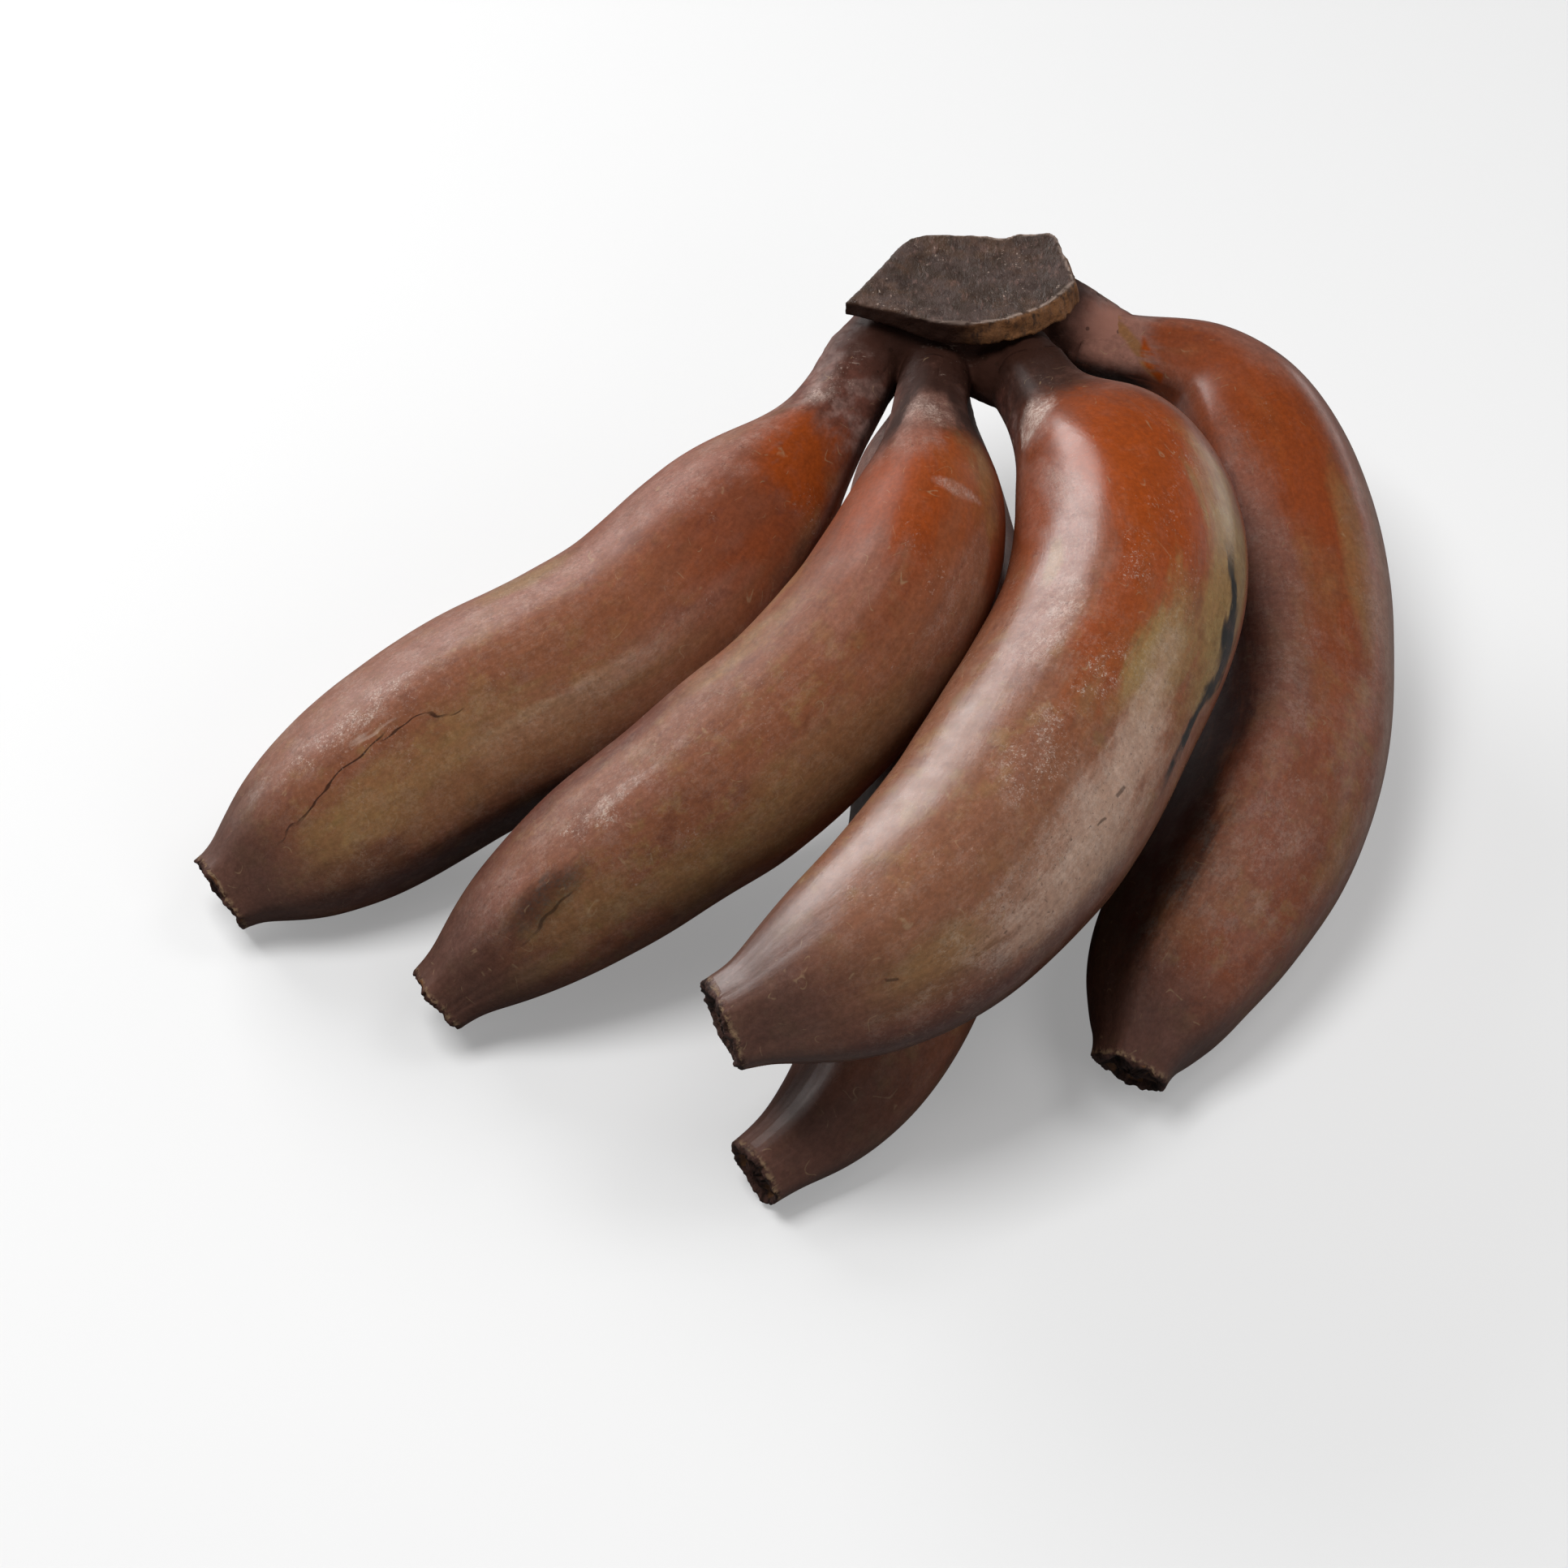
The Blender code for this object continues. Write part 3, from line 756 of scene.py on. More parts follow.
# Patches on each finger: tint, share of the length, turn, reach across and along in mm, strength.
PATCHES = {
    # Left finger: the weathered streak at share 0.57, turn -14 is a painted reflection; the waxy patches at
    # shares 0.085 and 0.92 are painted highlights; the plum patch at turn -75 is painted shade on its lower
    # side.
    "finger_left": (
        ("russet", 0.20, 2, 11, 12, 0.95), ("umber", 0.55, 6, 8, 30, 0.4),
        ("weathered", 0.57, -14, 3, 26, 0.4), ("bloom", 0.70, 60, 11, 52, 0.55),
        ("bloom", 0.28, 50, 11, 26, 0.8), ("bloom", 0.60, 50, 6, 40, 0.5), ("wax", 0.085, 35, 4, 9, 0.7),
        ("olive", 0.72, -18, 10, 36, 0.5), ("olive", 0.86, -28, 8, 15, 0.35),
        ("umber", 0.60, -34, 9, 50, 0.6), ("olive", 0.54, 70, 4, 12, 0.6), ("wax", 0.92, 48, 3.5, 8, 0.5),
        ("ash", 0.80, 36, 3, 22, 0.8), ("plum", 0.60, -75, 12, 70, 0.7), ("plum", 0.87, -46, 7, 18, 0.5),
        ("olive", 0.45, 160, 12, 30, 0.6),
    ),
    # Centre-left finger: the waxy patches at shares 0.281, 0.15 and 0.715, and the bloom and ash patches at
    # shares 0.15 and 0.16 by its neck, are painted highlights; the plum patch at turn 88 is painted shade on
    # its flank by the left finger.
    "finger_centre_left": (
        ("russet", 0.28, 5, 13, 17, 0.8), ("russet", 0.31, 48, 6, 16, 0.5),
        ("bloom", 0.38, -37, 5, 15, 0.6), ("bloom", 0.72, 36, 8, 30, 0.4), ("bloom", 0.90, 34, 6, 14, 0.8),
        ("scorch", 0.84, 6, 4, 11, 0.95), ("wax", 0.715, 32, 1.5, 7, 0.55), ("ash", 0.75, 28, 3, 9, 0.9),
        ("olive", 0.82, -14, 6, 12, 0.4), ("olive", 0.60, -40, 9, 30, 0.5),
        ("wax", 0.281, -15, 5, 1.3, 0.5), ("bloom", 0.15, 2, 5, 9, 0.5), ("wax", 0.15, 16, 3, 6, 0.5),
        ("plum", 0.76, 88, 9, 36, 0.7), ("ash", 0.16, 4, 4, 6, 0.5), ("bloom", 0.21, 18, 5, 12, 0.7),
        ("umber", 0.45, -30, 9, 30, 0.5), ("olive", 0.5, 175, 12, 34, 0.6),
    ),
    # Centre-right finger: the waxy patches at shares 0.50 and 0.140 and the bloom patch at share 0.16 are
    # painted highlights; the plum patch at turn -70 is painted shade on its lower right side.
    "finger_centre_right": (
        ("russet", 0.28, -6, 17, 26, 1.0), ("russet", 0.46, 0, 10, 28, 0.7),
        ("olive", 0.485, -22, 6, 18, 1.0), ("olive", 0.38, -46, 6, 26, 1.0),
        ("bloom", 0.42, 40, 7, 46, 0.8), ("weathered", 0.71, -30, 8, 34, 0.95),
        ("weathered", 0.56, -26, 5, 15, 0.6), ("umber", 0.80, -2, 11, 30, 0.7),
        ("umber", 0.87, -34, 9, 15, 0.9), ("olive", 0.84, -22, 6, 12, 0.5),
        ("olive", 0.505, -12, 2.5, 13, 0.9), ("weathered", 0.48, -22, 4, 9, 0.4),
        ("russet", 0.26, 66, 6, 18, 0.6), ("bloom", 0.27, 64, 5, 16, 0.35),
        ("wax", 0.50, 31, 3.5, 13, 0.6), ("plum", 0.85, -44, 8, 16, 0.4), ("ash", 0.41, 8, 4, 7, 0.7),
        ("ash", 0.55, 3, 4, 9, 0.75), ("ash", 0.66, 14, 7, 10, 0.7), ("ash", 0.49, -20, 5, 15, 0.3),
        ("ash", 0.70, -26, 9, 28, 0.25), ("bloom", 0.16, 26, 5, 9, 0.8), ("wax", 0.140, 23, 5, 8, 1.0),
        ("olive", 0.418, 49, 2, 9, 0.6), ("plum", 0.80, -70, 9, 30, 0.6),
        ("olive", 0.55, 150, 12, 30, 0.6), ("bloom", 0.35, 170, 11, 26, 0.6),
    ),
    # Right finger: the plum and scorch patches at turns 57 to 66 are a painted shadow cast by the
    # centre-right finger; the scorch patch at share 0.075 is painted shade in the fold under the lobe; the
    # bloom and weathered patches at turns -62 and -60 are a painted reflection along its right rim; the
    # bloom band at turn 20 is partly a painted sheen on a ridge face.
    "finger_right": (
        ("russet", 0.24, 4, 13, 24, 0.55), ("russet", 0.30, -4, 8, 24, 0.5),
        ("bloom", 0.50, 20, 7, 56, 0.6), ("russet", 0.48, -12, 6, 48, 0.35),
        ("olive", 0.42, -34, 3, 22, 0.5), ("bloom", 0.50, -62, 8, 50, 0.8),
        ("weathered", 0.48, -60, 5, 46, 0.4), ("olive", 0.86, 20, 8, 16, 0.2),
        ("bloom", 0.80, 0, 8, 22, 0.45), ("plum", 0.80, 66, 11, 46, 0.95),
        ("scorch", 0.84, 57, 11, 44, 0.95), ("plum", 0.45, 64, 11, 60, 0.9),
        ("scorch", 0.075, 80, 6, 6, 0.9), ("plum", 0.45, 60, 9, 40, 0.6), ("olive", 0.6, 170, 12, 34, 0.6),
    ),
    "finger_under": (
        ("russet", 0.30, 10, 14, 28, 0.9), ("bloom", 0.14, -60, 9, 16, 0.8),
        ("bloom", 0.14, 80, 9, 16, 0.8), ("olive", 0.60, -60, 9, 30, 0.7),
        ("russet", 0.72, 20, 9, 26, 0.6), ("bloom", 0.86, 60, 7, 16, 0.5),
    ),
}
# Cracks and bruised ridges: from share and turn, to share and turn, width in mm, tint, strength.
WOUNDS = {
    "finger_left": (
        (0.93, 3, 0.74, 20, 0.26, "scorch", 0.85), (0.77, 17, 0.66, 9, 0.24, "scorch", 0.8),
        (0.80, 23, 0.73, 22, 0.5, "ash", 0.4),
    ),
    "finger_centre_left": (
        (0.90, -6, 0.80, -3, 0.35, "scorch", 0.6), (0.62, 100, 0.50, 92, 0.4, "scorch", 0.7),
    ),
    "finger_centre_right": (
        (0.33, -51, 0.60, -55, 1.2, "bruise", 1.0), (0.37, -54, 0.56, -57, 1.5, "bruise", 1.0),
        (0.620, -33, 0.636, -30, 0.5, "scorch", 0.6), (0.655, -32, 0.668, -31, 0.5, "scorch", 0.6),
        (0.862, -16, 0.873, -12, 0.5, "scorch", 0.6),
    ),
    "finger_right": (
        (0.72, -120, 0.55, -112, 0.8, "bruise", 0.8), (0.046, -46, 0.108, 34, 1.9, "ochre", 1.0),
        (0.080, -12, 0.112, 36, 2.3, "russet", 1.0),
    ),
    "finger_under": (
        (0.30, 130, 0.50, 140, 0.8, "bruise", 0.8),
    ),
}
# Where each finger's grey neck begins to give way, and where it is all skin: shares of the length.
NECK_FADES = {
    "finger_left": (0.11, 0.22), "finger_centre_left": (0.15, 0.25), "finger_centre_right": (0.09, 0.19),
    "finger_right": (0.080, 0.105), "finger_under": (0.10, 0.16),
}
# Where each neck's own marks begin, and where it is all the crown's bark: shares of the length.
JOINED = dict.fromkeys(FINGERS, (0.115, 0.080)) | {"finger_right": (0.066, 0.050)}
# How a patch of each tint covers: its bare share, and the share that only the fine netting shows.
WEAR = {
    "russet": (1.0, 0.0), "plum": (1.0, 0.0), "umber": (1.0, 0.0), "weathered": (0.85, 0.15),
    "bloom": (0.75, 0.25), "olive": (0.75, 0.25), "scorch": (0.6, 0.4), "wax": (0.3, 0.7), "ash": (0.0, 1.0),
}
# Each finger's skin: its share of the lower half's duller brown, roughness, shine and lightness.
SKINS = {
    "finger_left": (0.75, 0.43, 0.18, 1.0),
    "finger_centre_left": (0.75, 0.43, 0.14, 0.96),
    "finger_centre_right": (0.85, 0.25, 0.45, 1.0),
    "finger_right": (0.25, 0.30, 0.58, 0.86),
    "finger_under": (0.50, 0.30, 0.40, 1.0),
}


def patch_inputs(name, share, turn, across, along):
    girth, neck, tip, knots = FINGERS[name]
    radius = radii_along(girth, neck, tip, np.array([share]))[0]
    angle = math.radians(turn)
    centre = (radius * math.cos(angle), radius * math.sin(angle), share * spine_length(knots))
    return {"Centre": [MM * place for place in centre], "Reach": (MM * across, MM * across, MM * along)}


def neck_colour(w, place, tint):
    """The colour that the necks and the crown's bark share, so that one runs into the other."""
    waxy = w.over(tint["neck_red"], tint["neck_grey"], w.spots(place, 5.0, 3.0, 0.6, 0.42, 0.60))
    tones = {"Dark": tint["neck_dark"], "Grey": waxy, "Lobe": tint["bloom"]}
    return w.effect(neck_effect(), {"Place": place} | tones)


def new_material(name):
    material = bpy.data.materials.new(name)
    material.use_nodes = True
    shader = material.node_tree.nodes["Principled BSDF"]
    return material, Wiring(material.node_tree), shader


def tints(tones):
    return {key: opaque(getattr(tones, key)) for key in TONE_NAMES}


def set_shader(tree, shader, links, **constants):
    for socket, value in links.items():
        tree.links.new(value, shader.inputs[socket])
    for socket, value in constants.items():
        shader.inputs[socket.replace("_", " ")].default_value = value


def skin_ground(w, tint, moved, drawn, duller, browner):
    """The skin before its marks: mahogany clouded with russet, bloom, umber, olive and plum."""
    olive_seed = w.vector("ADD", drawn, (0.7, 0.2, 0.0))
    patchy_seed = w.vector("ADD", moved, (0.3, 0.9, 0.0))
    blotchy_seed = w.vector("ADD", moved, (0.1, 0.4, 0.6))
    colour = w.over(tint["mahogany"], tint["russet"], w.spots(drawn, 22.0, 3.0, 0.55, 0.36, 0.62), 0.5)
    colour = w.over(colour, tint["bloom"], w.spots(drawn, 15.0, 3.0, 0.6, 0.50, 0.68), 0.55)
    colour = w.over(colour, tint["umber"], duller, browner)
    colour = w.over(colour, tint["olive"], w.spots(olive_seed, 17.0, 3.0, 0.6, 0.55, 0.72), 0.5)
    patchy = w.spots(patchy_seed, 6.0, 4.0, 0.7, 0.50, 0.66)
    colour = w.over(colour, tint["olive"], patchy, duller, 0.35)
    return w.over(colour, tint["plum"], w.spots(blotchy_seed, 5.0, 4.0, 0.7, 0.52, 0.66), 0.30)


def with_patches(w, name, tint, colour, bloom_and_sheen_cover, grown, ragged, netting):
    """The colour with the finger's patches laid on it, some of them painted shade, highlights and
    reflections, and where the skin is rubbed pale, together with the bloom patches that paint a sheen.
    """
    for key, share, turn, across, along, strength in PATCHES[name]:
        bare, netted = WEAR[key]
        marks = netting.node.outputs["Specks"] if key == "ash" else netting
        strength = w.plus(strength * bare, marks, strength * netted)
        laid = {"Colour": colour, "Tint": tint[key], "Strength": strength}
        laid |= {"Grown": grown, "Ragged": ragged} | patch_inputs(name, share, turn, across, along)
        colour = w.effect(patch_effect(), laid)
        if key in ("bloom", "weathered"):
            bloom_and_sheen_cover = w.larger(bloom_and_sheen_cover, colour.node.outputs["Mask"])
    return colour, bloom_and_sheen_cover


def with_wounds(w, name, tint, colour, share, grown, drawn, ragged):
    """The colour with the finger's cracks and bruised ridges, and where they are."""
    wander = w.noise(drawn, 9.0, 3.0, 0.6)
    cracked = 0.0
    for start, start_turn, end, end_turn, width, key, strength in WOUNDS[name]:
        line = {
            "Grown": grown, "Share": share, "Wander": wander, "Width": MM * width,
            "From Share": start, "To Share": end,
            "From Turn": math.radians(start_turn), "To Turn": math.radians(end_turn),
        }
        mask = w.times(w.effect(wound_effect(), line), w.step(ragged, 0.38, 0.5), strength)
        colour = w.blend(mask, colour, tint[key])
        cracked = w.larger(cracked, mask)
    return colour, cracked


def crust_colour(w, tint, grown, moved, cork):
    """The dried blossom end: painted shade makes it near black deep in its hollow; ochre in places, with a
    fibrous pale lip.
    """
    hollow = w.stored("depth")
    crust = w.over(tint["scorch"], tint["tip_dark"], w.spots(grown, 1.8, 4.0, 0.7, 0.36, 0.58))
    # Painted shade: the deeper into the hollow, the darker.
    crust = w.over(crust, tint["scorch"], w.step(hollow, 0.2, 0.9), 0.8)
    ember = w.times(w.spots(moved, 4.0, 2.0, 0.5, 0.50, 0.60), w.step(hollow, 0.0, 0.3))
    crust = w.over(crust, tint["ochre"], ember, 0.8)
    lip = w.times(cork, w.minus(1.0, cork), 4.0)
    return w.over(crust, tint["cork"], w.spots(grown, 1.1, 3.0, 0.7, 0.42, 0.60), lip)


def finger_material(name, tones):
    """The skin of one finger: its grey neck, its red body with patches and marks, some of which are painted
    shade, shadow, highlights and reflections, and its dried end.
    """
    tip = FINGERS[name][2]
    browner, satin, shine, lightness = SKINS[name]
    neck_end, skin_start = NECK_FADES[name]
    tint = tints(tones)
    material, w, shader = new_material(name + "_skin")
    shift = 0.31 * (1 + list(FINGERS).index(name))
    grown = w.stored("grown", "Vector")
    moved = w.vector("ADD", grown, (shift, 0.0, shift))
    drawn = w.vector("MULTIPLY", moved, (1.0, 1.0, 0.35))
    share, ridge, cork = w.stored("share"), w.stored("ridge"), w.stored("cork")
    streaks = w.effect(fibre_effect(), {"Grown": moved})
    mottle = w.noise(moved, 4.5, 4.0, 0.62)
    ragged = w.plus(w.times(w.noise(drawn, 7.0, 4.0, 0.68), 0.75), streaks, 0.25)
    uneven = w.minus(ragged, 0.5)
    netting = w.effect(netting_effect(), {"Grown": moved})

    duller = w.step(w.plus(share, uneven, 0.3), 0.32, 0.60)
    worn = w.step(ridge, 0.7, 1.9)
    neck_tone = neck_colour(w, w.object_place(), tint)
    on_neck = w.step(w.plus(share, uneven, 0.10), skin_start, neck_end)
    colour = skin_ground(w, tint, moved, drawn, duller, browner)
    colour = w.over(colour, tint["bloom"], worn, ragged, 0.55)
    colour = w.blend(on_neck, colour, neck_tone)
    colour, bloom_and_sheen_cover = with_patches(w, name, tint, colour, w.times(worn, 0.3), grown, ragged, netting)
    colour = w.over(colour, tint["ash"], w.plus(bloom_and_sheen_cover, duller, 0.45), netting, 0.20)
    pits = w.spots(grown, 0.8, 3.0, 0.75, 0.42, 0.30)
    colour = w.over(colour, tint["neck_dark"], w.plus(0.07, bloom_and_sheen_cover, 0.6), pits)

    joined = w.step(share, *JOINED[name])
    colour = w.blend(joined, colour, neck_tone)
    colour, cracked = with_wounds(w, name, tint, colour, share, grown, drawn, ragged)
    scuffed = w.effect(scuff_effect(), {"Grown": moved})
    colour = w.over(colour, tint["ash"], scuffed, 0.5)
    tip_place = w.maths("DIVIDE", w.minus(1.0, w.plus(share, uneven, 0.07)), tip)
    on_tip = w.step(tip_place, 0.15, 0.035)
    colour = w.over(colour, tint["tip_dark"], on_tip, 0.85)

    colour = w.over(colour, tint["neck_dark"], w.step(mottle, 0.5, 0.72), 0.14)
    colour = w.over(colour, tint["bloom"], w.step(mottle, 0.50, 0.28), 0.12)
    freckles = w.effect(freckle_effect(), {"Grown": moved, "Spacing": 420.0, "Share": 0.07})
    colour = w.over(colour, tint["scorch"], freckles, 0.5)
    colour = w.over(colour, tint["cork"], w.effect(scratch_effect(), {"Grown": moved}), 0.45)
    fine = w.noise(grown, 0.9, 4.0, 0.7)
    shade = w.times(w.step(streaks, 0.30, 0.70, 0.92, 1.08), w.step(fine, 0.3, 0.7, 0.86, 1.14), lightness)
    shades = w.node("ShaderNodeCombineColor", {0: shade, 1: shade, 2: shade})
    colour = w.blend(1.0, colour, shades, "MULTIPLY")
    colour = w.blend(cork, colour, crust_colour(w, tint, grown, moved, cork))

    rough = w.plus(satin, w.step(mottle, 0.3, 0.7), 0.09)
    rough = w.plus(w.plus(rough, bloom_and_sheen_cover, 0.06), scuffed, 0.15)
    rough = w.clamped(w.plus(w.plus(rough, cork, 0.45), on_tip, 0.10))
    rough = w.plus(w.plus(rough, joined, 0.08), on_neck, 0.12)
    height = w.plus(streaks.node.outputs["Height"], cracked, -0.45)
    normal = w.bump(height, MM * 0.10, 0.45)
    flakes = w.times(w.noise(grown, 0.7, 4.0, 0.75), cork)
    normal = w.bump(flakes, MM * 0.6, 0.9, normal)
    links = {"Base Color": colour, "Roughness": rough, "Normal": normal}
    links["Specular IOR Level"] = w.step(on_neck, 0.0, 1.0, shine, 0.18)
    set_shader(w.tree, shader, links, Coat_Weight=0.06, Coat_Roughness=0.25)
    return material


def bark_material(tones):
    """The dried bark where the necks join: dark, with the necks' painted shade under the lip and in the
    fold, waxy on the swells, where the right lobe's bloom is partly a painted sheen, with pale flecks.
    """
    tint = tints(tones)
    material, w, shader = new_material("crown_bark")
    place = w.object_place()
    colour = neck_colour(w, place, tint)
    grey = colour.node.outputs["Grey"]
    scuffed = w.effect(scuff_effect(), {"Grown": place})
    colour = w.over(colour, tint["ash"], scuffed, 0.6)
    freckles = w.effect(freckle_effect(), {"Grown": place, "Spacing": 500.0, "Share": 0.35})
    colour = w.over(colour, tint["scorch"], freckles, 0.6)
    fine = w.noise(place, 0.8, 4.0, 0.7)
    normal = w.bump(w.plus(fine, w.noise(place, 2.5, 3.0, 0.6), 1.2), MM * 0.15, 0.5)
    rough = w.plus(w.step(grey, 0.2, 0.9, 0.62, 0.54), scuffed, 0.2)
    links = {"Base Color": colour, "Roughness": rough, "Normal": normal}
    set_shader(w.tree, shader, links, Coat_Weight=0.03, Specular_IOR_Level=0.22)
    return material


def rim_colour(w, tint, place, right, clouds):
    """The ribbed rim of the slab: near black, turning to ochre with pale ribs on the right."""
    ribs = w.noise(w.vector("MULTIPLY", place, (1.0, 1.0, 0.45)), 1.5, 4.0, 0.7)
    wood = w.over(tint["cut_brown"], tint["ochre"], w.step(ribs, 0.28, 0.56))
    wood = w.over(wood, tint["cork"], w.step(ribs, 0.62, 0.72), 0.5)
    return w.over(wood, tint["scorch"], w.step(w.plus(right, clouds, MM * 12), MM * 46, MM * 32))


def cut_material(tones):
    """The dried cut: grey-brown with pale specks, a painted highlight along its front edge on the right, and
    its ribbed rim.
    """
    tint = tints(tones)
    material, w, shader = new_material("crown_cut")
    place = w.object_place()
    right = w.node("ShaderNodeSeparateXYZ", {"Vector": place}, "X")
    clouds = w.noise(place, 6.0, 5.0, 0.7)
    colour = w.over(tint["cut_brown"], tint["cut_grey"], w.step(clouds, 0.42, 0.58))
    colour = w.over(colour, tint["ochre"], w.spots(place, 9.0, 4.0, 0.7, 0.50, 0.62), 0.12)
    colour = w.over(colour, tint["scorch"], w.spots(place, 4.0, 4.0, 0.7, 0.50, 0.62), 0.5)
    grain = w.noise(w.vector("MULTIPLY", place, (1.0, 0.35, 1.0)), 0.8, 3.0, 0.7)
    colour = w.over(colour, tint["neck_grey"], w.step(grain, 0.54, 0.70), 0.30)
    chips = w.times(w.spots(place, 0.9, 4.0, 0.8, 0.60, 0.68), w.spots(place, 8.0, 2.0, 0.5, 0.42, 0.60))
    colour = w.over(colour, tint["ash"], chips, 0.8)
    freckles = w.effect(freckle_effect(), {"Grown": place, "Spacing": 520.0, "Share": 0.16})
    colour = w.over(colour, tint["ash"], freckles, 0.5)
    # A painted highlight: pale spots along the cut's edge, on its right.
    edge_highlight_right = w.times(w.step(right, MM * 18, MM * 34), w.spots(place, 2.0, 2.0, 0.6, 0.35, 0.5))
    colour = w.over(colour, tint["ash"], w.stored("edge"), edge_highlight_right, 0.75)
    colour = w.blend(w.stored("rim"), colour, rim_colour(w, tint, place, right, clouds))
    normal = w.bump(w.plus(grain, w.noise(place, 1.2, 4.0, 0.7), 1.3), MM * 0.3, 0.7)
    rough = w.step(clouds, 0.3, 0.7, 0.50, 0.70)
    set_shader(w.tree, shader, {"Base Color": colour, "Roughness": rough, "Normal": normal})
    return material


def floor_material(colour, bounce):
    """A matt pale surface with a barely visible tooth, which throws less light back than it shows."""
    material, w, shader = new_material("pale_floor")
    normal = w.bump(w.noise(w.object_place(), 3.0, 2.0), MM * 0.02, 0.2)
    seen = w.node("ShaderNodeLightPath", {}, "Is Camera Ray")
    thrown, lit, glowing = (
        opaque([share * part for part in colour]) for share in (bounce, GLOW_SPLIT, 1 - GLOW_SPLIT)
    )
    shown = w.blend(seen, thrown, lit)
    glow = w.blend(seen, opaque((0, 0, 0)), glowing)
    links = {"Base Color": shown, "Emission Color": glow, "Normal": normal}
    set_shader(w.tree, shader, links, Roughness=0.85, Emission_Strength=0.9)
    return material


# ---- Settings ----

TONES = {
    "mahogany": ("Mahogany", "The skin's main colour", (0.172, 0.048, 0.022)),
    "russet": ("Russet", "The warm skin beyond the necks", (0.250, 0.045, 0.006)),
    # Bloom also paints a sheen: on the right neck's lobe, on neck highlights, and along the right finger's
    # rim and one of its ridges.
    "bloom": ("Bloom", "The mauve bloom on rubbed skin", (0.250, 0.115, 0.086)),
    "olive": ("Olive", "The green-brown patches", (0.250, 0.158, 0.060)),
    "umber": ("Umber", "The duller brown of the lower halves", (0.195, 0.080, 0.042)),
    # Plum also paints shade: on the fingers' lower sides and flanks, and the shadow that the centre-right
    # finger casts on the right one.
    "plum": ("Plum", "The dark underside of the skin", (0.085, 0.026, 0.021)),
    # Weathered also paints reflections: a streak on the left finger, and the right finger's rim.
    "weathered": ("Weathered", "The grey-brown of skin that weather has dulled", (0.400, 0.258, 0.190)),
    # Wax is a painted highlight on the necks and ridges.
    "wax": ("Wax", "Waxy highlights of the necks and ridges", (0.480, 0.360, 0.310)),
    # Ash also paints the highlight on the centre-left finger's neck.
    "ash": ("Ash", "Pale scuffs and specks", (0.450, 0.340, 0.280)),
    "ochre": ("Ochre", "Scars and the ribs of the crown's rim", (0.220, 0.100, 0.042)),
    # Scorch also paints shade: the shadow on the right finger, the fold under its lobe, and the deep hollows
    # of the blossom ends.
    "scorch": ("Scorch", "Near-black brown of cracks, freckles and dried bark", (0.020, 0.009, 0.006)),
    "bruise": ("Bruise", "Blue-black bruised ridges", (0.020, 0.018, 0.017)),
    "neck_dark": ("Dark Neck", "The necks in their folds", (0.032, 0.013, 0.009)),
    "neck_grey": ("Grey Neck", "The necks where they are waxy", (0.235, 0.132, 0.110)),
    "neck_red": ("Red Neck", "The necks where the skin shows through", (0.145, 0.053, 0.038)),
    "tip_dark": ("Tip", "The skin round the blossom end", (0.085, 0.042, 0.033)),
    "cork": ("Cork", "The fibrous rim of the blossom end", (0.300, 0.200, 0.115)),
    "cut_brown": ("Cut Brown", "The dried cut face", (0.041, 0.025, 0.018)),
    "cut_grey": ("Cut Grey", "The dried cut face where it is greyer", (0.062, 0.039, 0.032)),
}
TONE_NAMES = tuple(TONES)


def colour_prop(label, description, default):
    return FloatVectorProperty(
        name=label, description=description, subtype="COLOR", size=3, min=0.0, max=1.0, default=default
    )


class SkinTones(bpy.types.PropertyGroup):
    """The colours of the skin, the cork and the crown"""

    __annotations__ = {key: colour_prop(*words) for key, words in TONES.items()}


class FingerSettings(bpy.types.PropertyGroup):
    """How finely the fingers are made and how proud their ridges stand"""

    segments: IntProperty(name="Segments", description="Faces round a finger", default=144, min=24, max=200)
    rings: IntProperty(name="Rings", description="Faces along a finger", default=310, min=60, max=400)
    ridge_height: FloatProperty(
        name="Ridge Height", description="Height of a ridge, as a share of the radius",
        subtype="FACTOR", default=0.022, min=0.0, max=0.1,
    )
    swell: FloatProperty(
        name="Swell", description="Height of the broad swells along a finger, in millimetres",
        default=0.35, min=0.0, max=2.0,
    )


class CrownSettings(bpy.types.PropertyGroup):
    """The slab left by the knife and the bark under it"""

    slab: FloatProperty(
        name="Slab", description="Thickness of the cut slab", subtype="DISTANCE", default=0.0054, min=0.002
    )
    bark_height: FloatProperty(
        name="Bark Height", description="Height of the bark's lumps, in millimetres", default=0.9, min=0.0
    )
    grain: FloatProperty(
        name="Grain", description="Size of the crown's faces",
        subtype="DISTANCE", default=0.00042, min=0.0002,
    )


class StageSettings(bpy.types.PropertyGroup):
    """The floor, the lights and the camera"""

    elevation: FloatProperty(
        name="Elevation", description="How far above the horizon the camera looks from",
        subtype="ANGLE", default=math.radians(47), min=0.0, max=math.pi / 2,
    )
    distance: FloatProperty(
        name="Distance", description="From the camera to the hand",
        subtype="DISTANCE", default=0.690, min=0.1,
    )
    floor_colour: colour_prop("Floor", "Colour of the floor", (0.86, 0.86, 0.86))
    bounce: FloatProperty(
        name="Bounce", description="How much of its brightness the floor throws back at the fruit",
        subtype="FACTOR", default=0.20, min=0.0, max=1.0,
    )
    sky: FloatProperty(name="Sky", description="Strength of the even light", default=0.065, min=0.0)


# ---- Operators ----

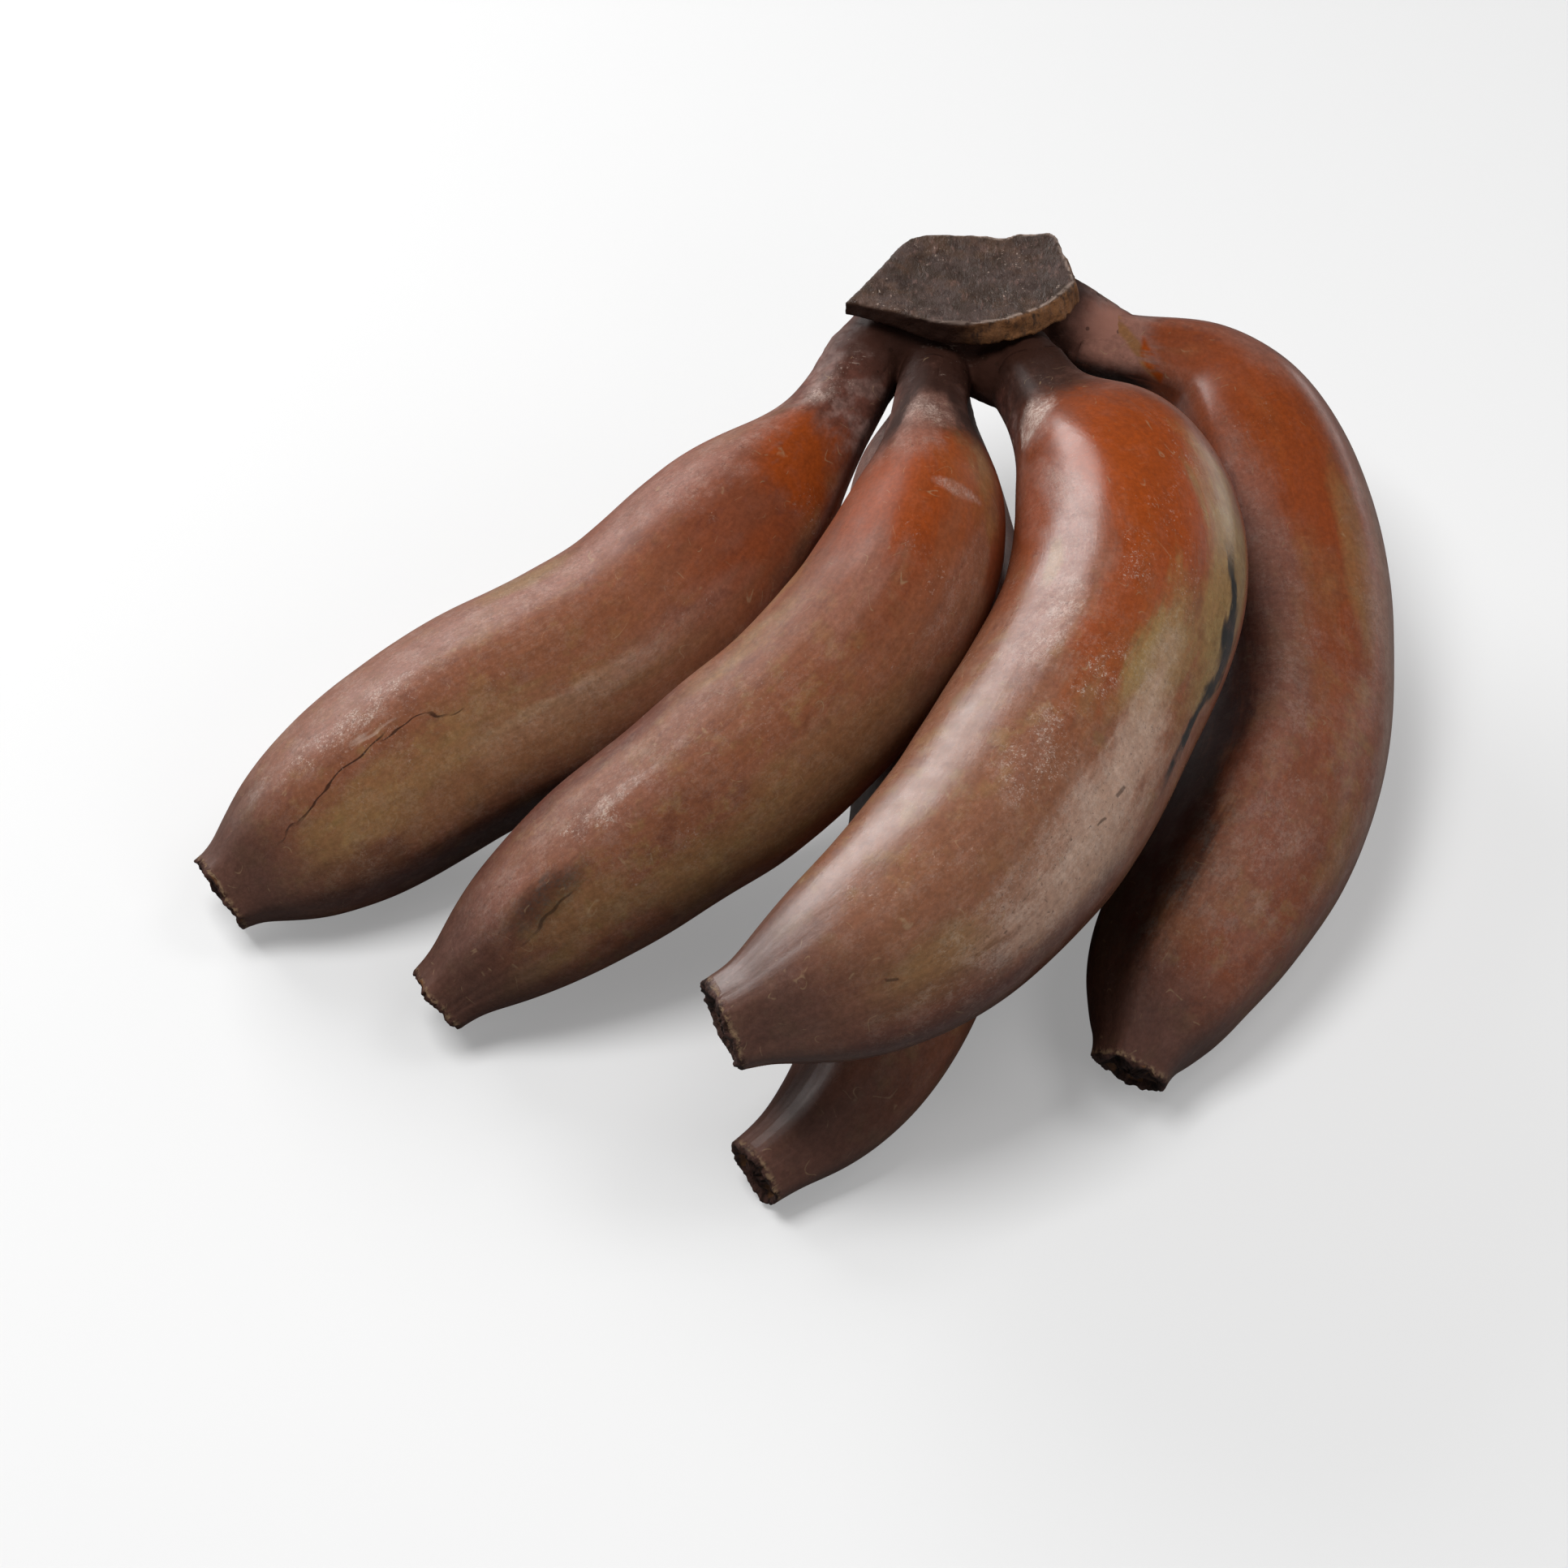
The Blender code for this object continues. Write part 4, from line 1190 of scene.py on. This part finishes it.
class BANANA_OT_grow_fingers(bpy.types.Operator):
    """Grow the five fingers of the hand, each with its own skin"""

    bl_idname = "banana.grow_fingers"
    bl_label = "Grow Fingers"

    def execute(self, context):
        settings = context.scene.banana_fingers
        for name in FINGERS:
            mesh = finger_mesh(name, settings)
            skin = finger_material(name, context.scene.banana_tones)
            add_piece(context, name + "_skin", mesh, name, skin)
        return {"FINISHED"}


class BANANA_OT_grow_crown(bpy.types.Operator):
    """Grow the crown: the bark where the necks join, and the slab left by the knife"""

    bl_idname = "banana.grow_crown"
    bl_label = "Grow Crown"

    def execute(self, context):
        settings = context.scene.banana_crown
        tones = context.scene.banana_tones
        voxel = settings.grain / MM
        base = crown_base_mesh(voxel, settings.bark_height)
        add_piece(context, "crown_base", base, "crown", bark_material(tones))
        slab = cut_slab_mesh(voxel, settings.slab / MM, settings.bark_height)
        add_piece(context, "crown_cut", slab, "crown", cut_material(tones))
        return {"FINISHED"}


# Softboxes: where they stand, width and height in metres, watts, and whether the skin mirrors them.
LIGHTS = {
    "key_above": ((-0.25, -0.14, 0.86), 0.36, 0.36, 5.9, False),
    "top_right": ((0.40, 0.00, 0.82), 0.30, 0.30, 1.0, False),
    "softbox_behind_left": ((-0.54, 0.60, 0.38), 0.64, 0.48, 5.8, True),
    "softbox_right": ((0.62, 0.56, 0.16), 0.40, 0.26, 0.62, True),
    "fill_right": ((0.76, -0.05, 0.30), 0.40, 0.40, 0.9, False),
    "fill_front": ((0.45, -0.58, 0.50), 0.40, 0.35, 0.8, False),
}
AIM = (0.0, 0.0, 0.03)
CAMERA_TARGET = (-0.004, -0.023, 0.038)
LENS = 90.0
SENSOR = 36.0
FLOOR_SIDE = 6.0
GLOW_SPLIT = 0.66  # the share of the floor's brightness that shadows can take away


class BANANA_OT_set_stage(bpy.types.Operator):
    """Set the floor, the lights and the camera"""

    bl_idname = "banana.set_stage"
    bl_label = "Set Stage"

    def execute(self, context):
        scene, settings = context.scene, context.scene.banana_stage
        shape = bmesh.new()
        bmesh.ops.create_grid(shape, x_segments=1, y_segments=1, size=FLOOR_SIDE / 2)
        mesh = mesh_from("floor", shape)
        mesh.materials.append(floor_material(settings.floor_colour, settings.bounce))
        ground = bpy.data.objects.new("floor", mesh)
        scene.collection.objects.link(ground)
        for name, (place, *box) in LIGHTS.items():
            add_softbox(scene, name, Vector(place), *box)
        world = bpy.data.worlds.new("studio")
        world.use_nodes = True
        sky = world.node_tree.nodes["Background"].inputs
        sky["Color"].default_value = (1.0, 1.0, 1.0, 1.0)
        sky["Strength"].default_value = settings.sky
        scene.world = world
        scene.camera = new_camera(scene, settings)
        scene.view_settings.view_transform = "Standard"
        return {"FINISHED"}


def add_softbox(scene, name, place, width, height, watts, mirrored):
    light = bpy.data.lights.new(name, "AREA")
    light.shape = "RECTANGLE"
    light.size, light.size_y = width, height
    light.energy = watts
    lamp = bpy.data.objects.new(name, light)
    lamp.location = place
    lamp.visible_glossy = mirrored
    lamp.rotation_euler = (Vector(AIM) - place).to_track_quat("-Z", "Y").to_euler()
    scene.collection.objects.link(lamp)


def new_camera(scene, settings):
    camera = bpy.data.cameras.new("camera")
    camera.lens = LENS
    camera.sensor_width = SENSOR
    camera.dof.use_dof = False
    eye = bpy.data.objects.new("camera", camera)
    forward = Vector((0.0, math.cos(settings.elevation), -math.sin(settings.elevation)))
    eye.location = Vector(CAMERA_TARGET) - settings.distance * forward
    eye.rotation_euler = (math.pi / 2 - settings.elevation, 0.0, 0.0)
    scene.collection.objects.link(eye)
    return eye


class BANANA_PT_hand(bpy.types.Panel):
    """The hand's settings and the steps that make it"""

    bl_idname = "BANANA_PT_hand"
    bl_label = "Red Banana Hand"
    bl_space_type = "VIEW_3D"
    bl_region_type = "UI"
    bl_category = "Banana"

    def draw(self, context):
        steps = (
            ("banana.set_stage", "banana_stage"), ("banana.grow_fingers", "banana_fingers"),
            ("banana.grow_crown", "banana_crown"),
        )
        for operator, group in steps:
            box = self.layout.box()
            settings = getattr(context.scene, group)
            for key in settings.__annotations__:
                box.prop(settings, key)
            box.operator(operator)
        box = self.layout.box()
        for key in TONE_NAMES:
            box.prop(context.scene.banana_tones, key)


GROUPS = {
    "banana_tones": SkinTones,
    "banana_fingers": FingerSettings,
    "banana_crown": CrownSettings,
    "banana_stage": StageSettings,
}
OTHERS = (BANANA_OT_set_stage, BANANA_OT_grow_fingers, BANANA_OT_grow_crown, BANANA_PT_hand)


def register():
    for cls in (*GROUPS.values(), *OTHERS):
        bpy.utils.register_class(cls)
    for name, cls in GROUPS.items():
        setattr(bpy.types.Scene, name, PointerProperty(type=cls))


def unregister():
    for name in GROUPS:
        delattr(bpy.types.Scene, name)
    for cls in reversed((*GROUPS.values(), *OTHERS)):
        bpy.utils.unregister_class(cls)


def main():
    register()
    bpy.ops.banana.set_stage()
    bpy.ops.banana.grow_fingers()
    bpy.ops.banana.grow_crown()


if __name__ == "__main__":
    main()
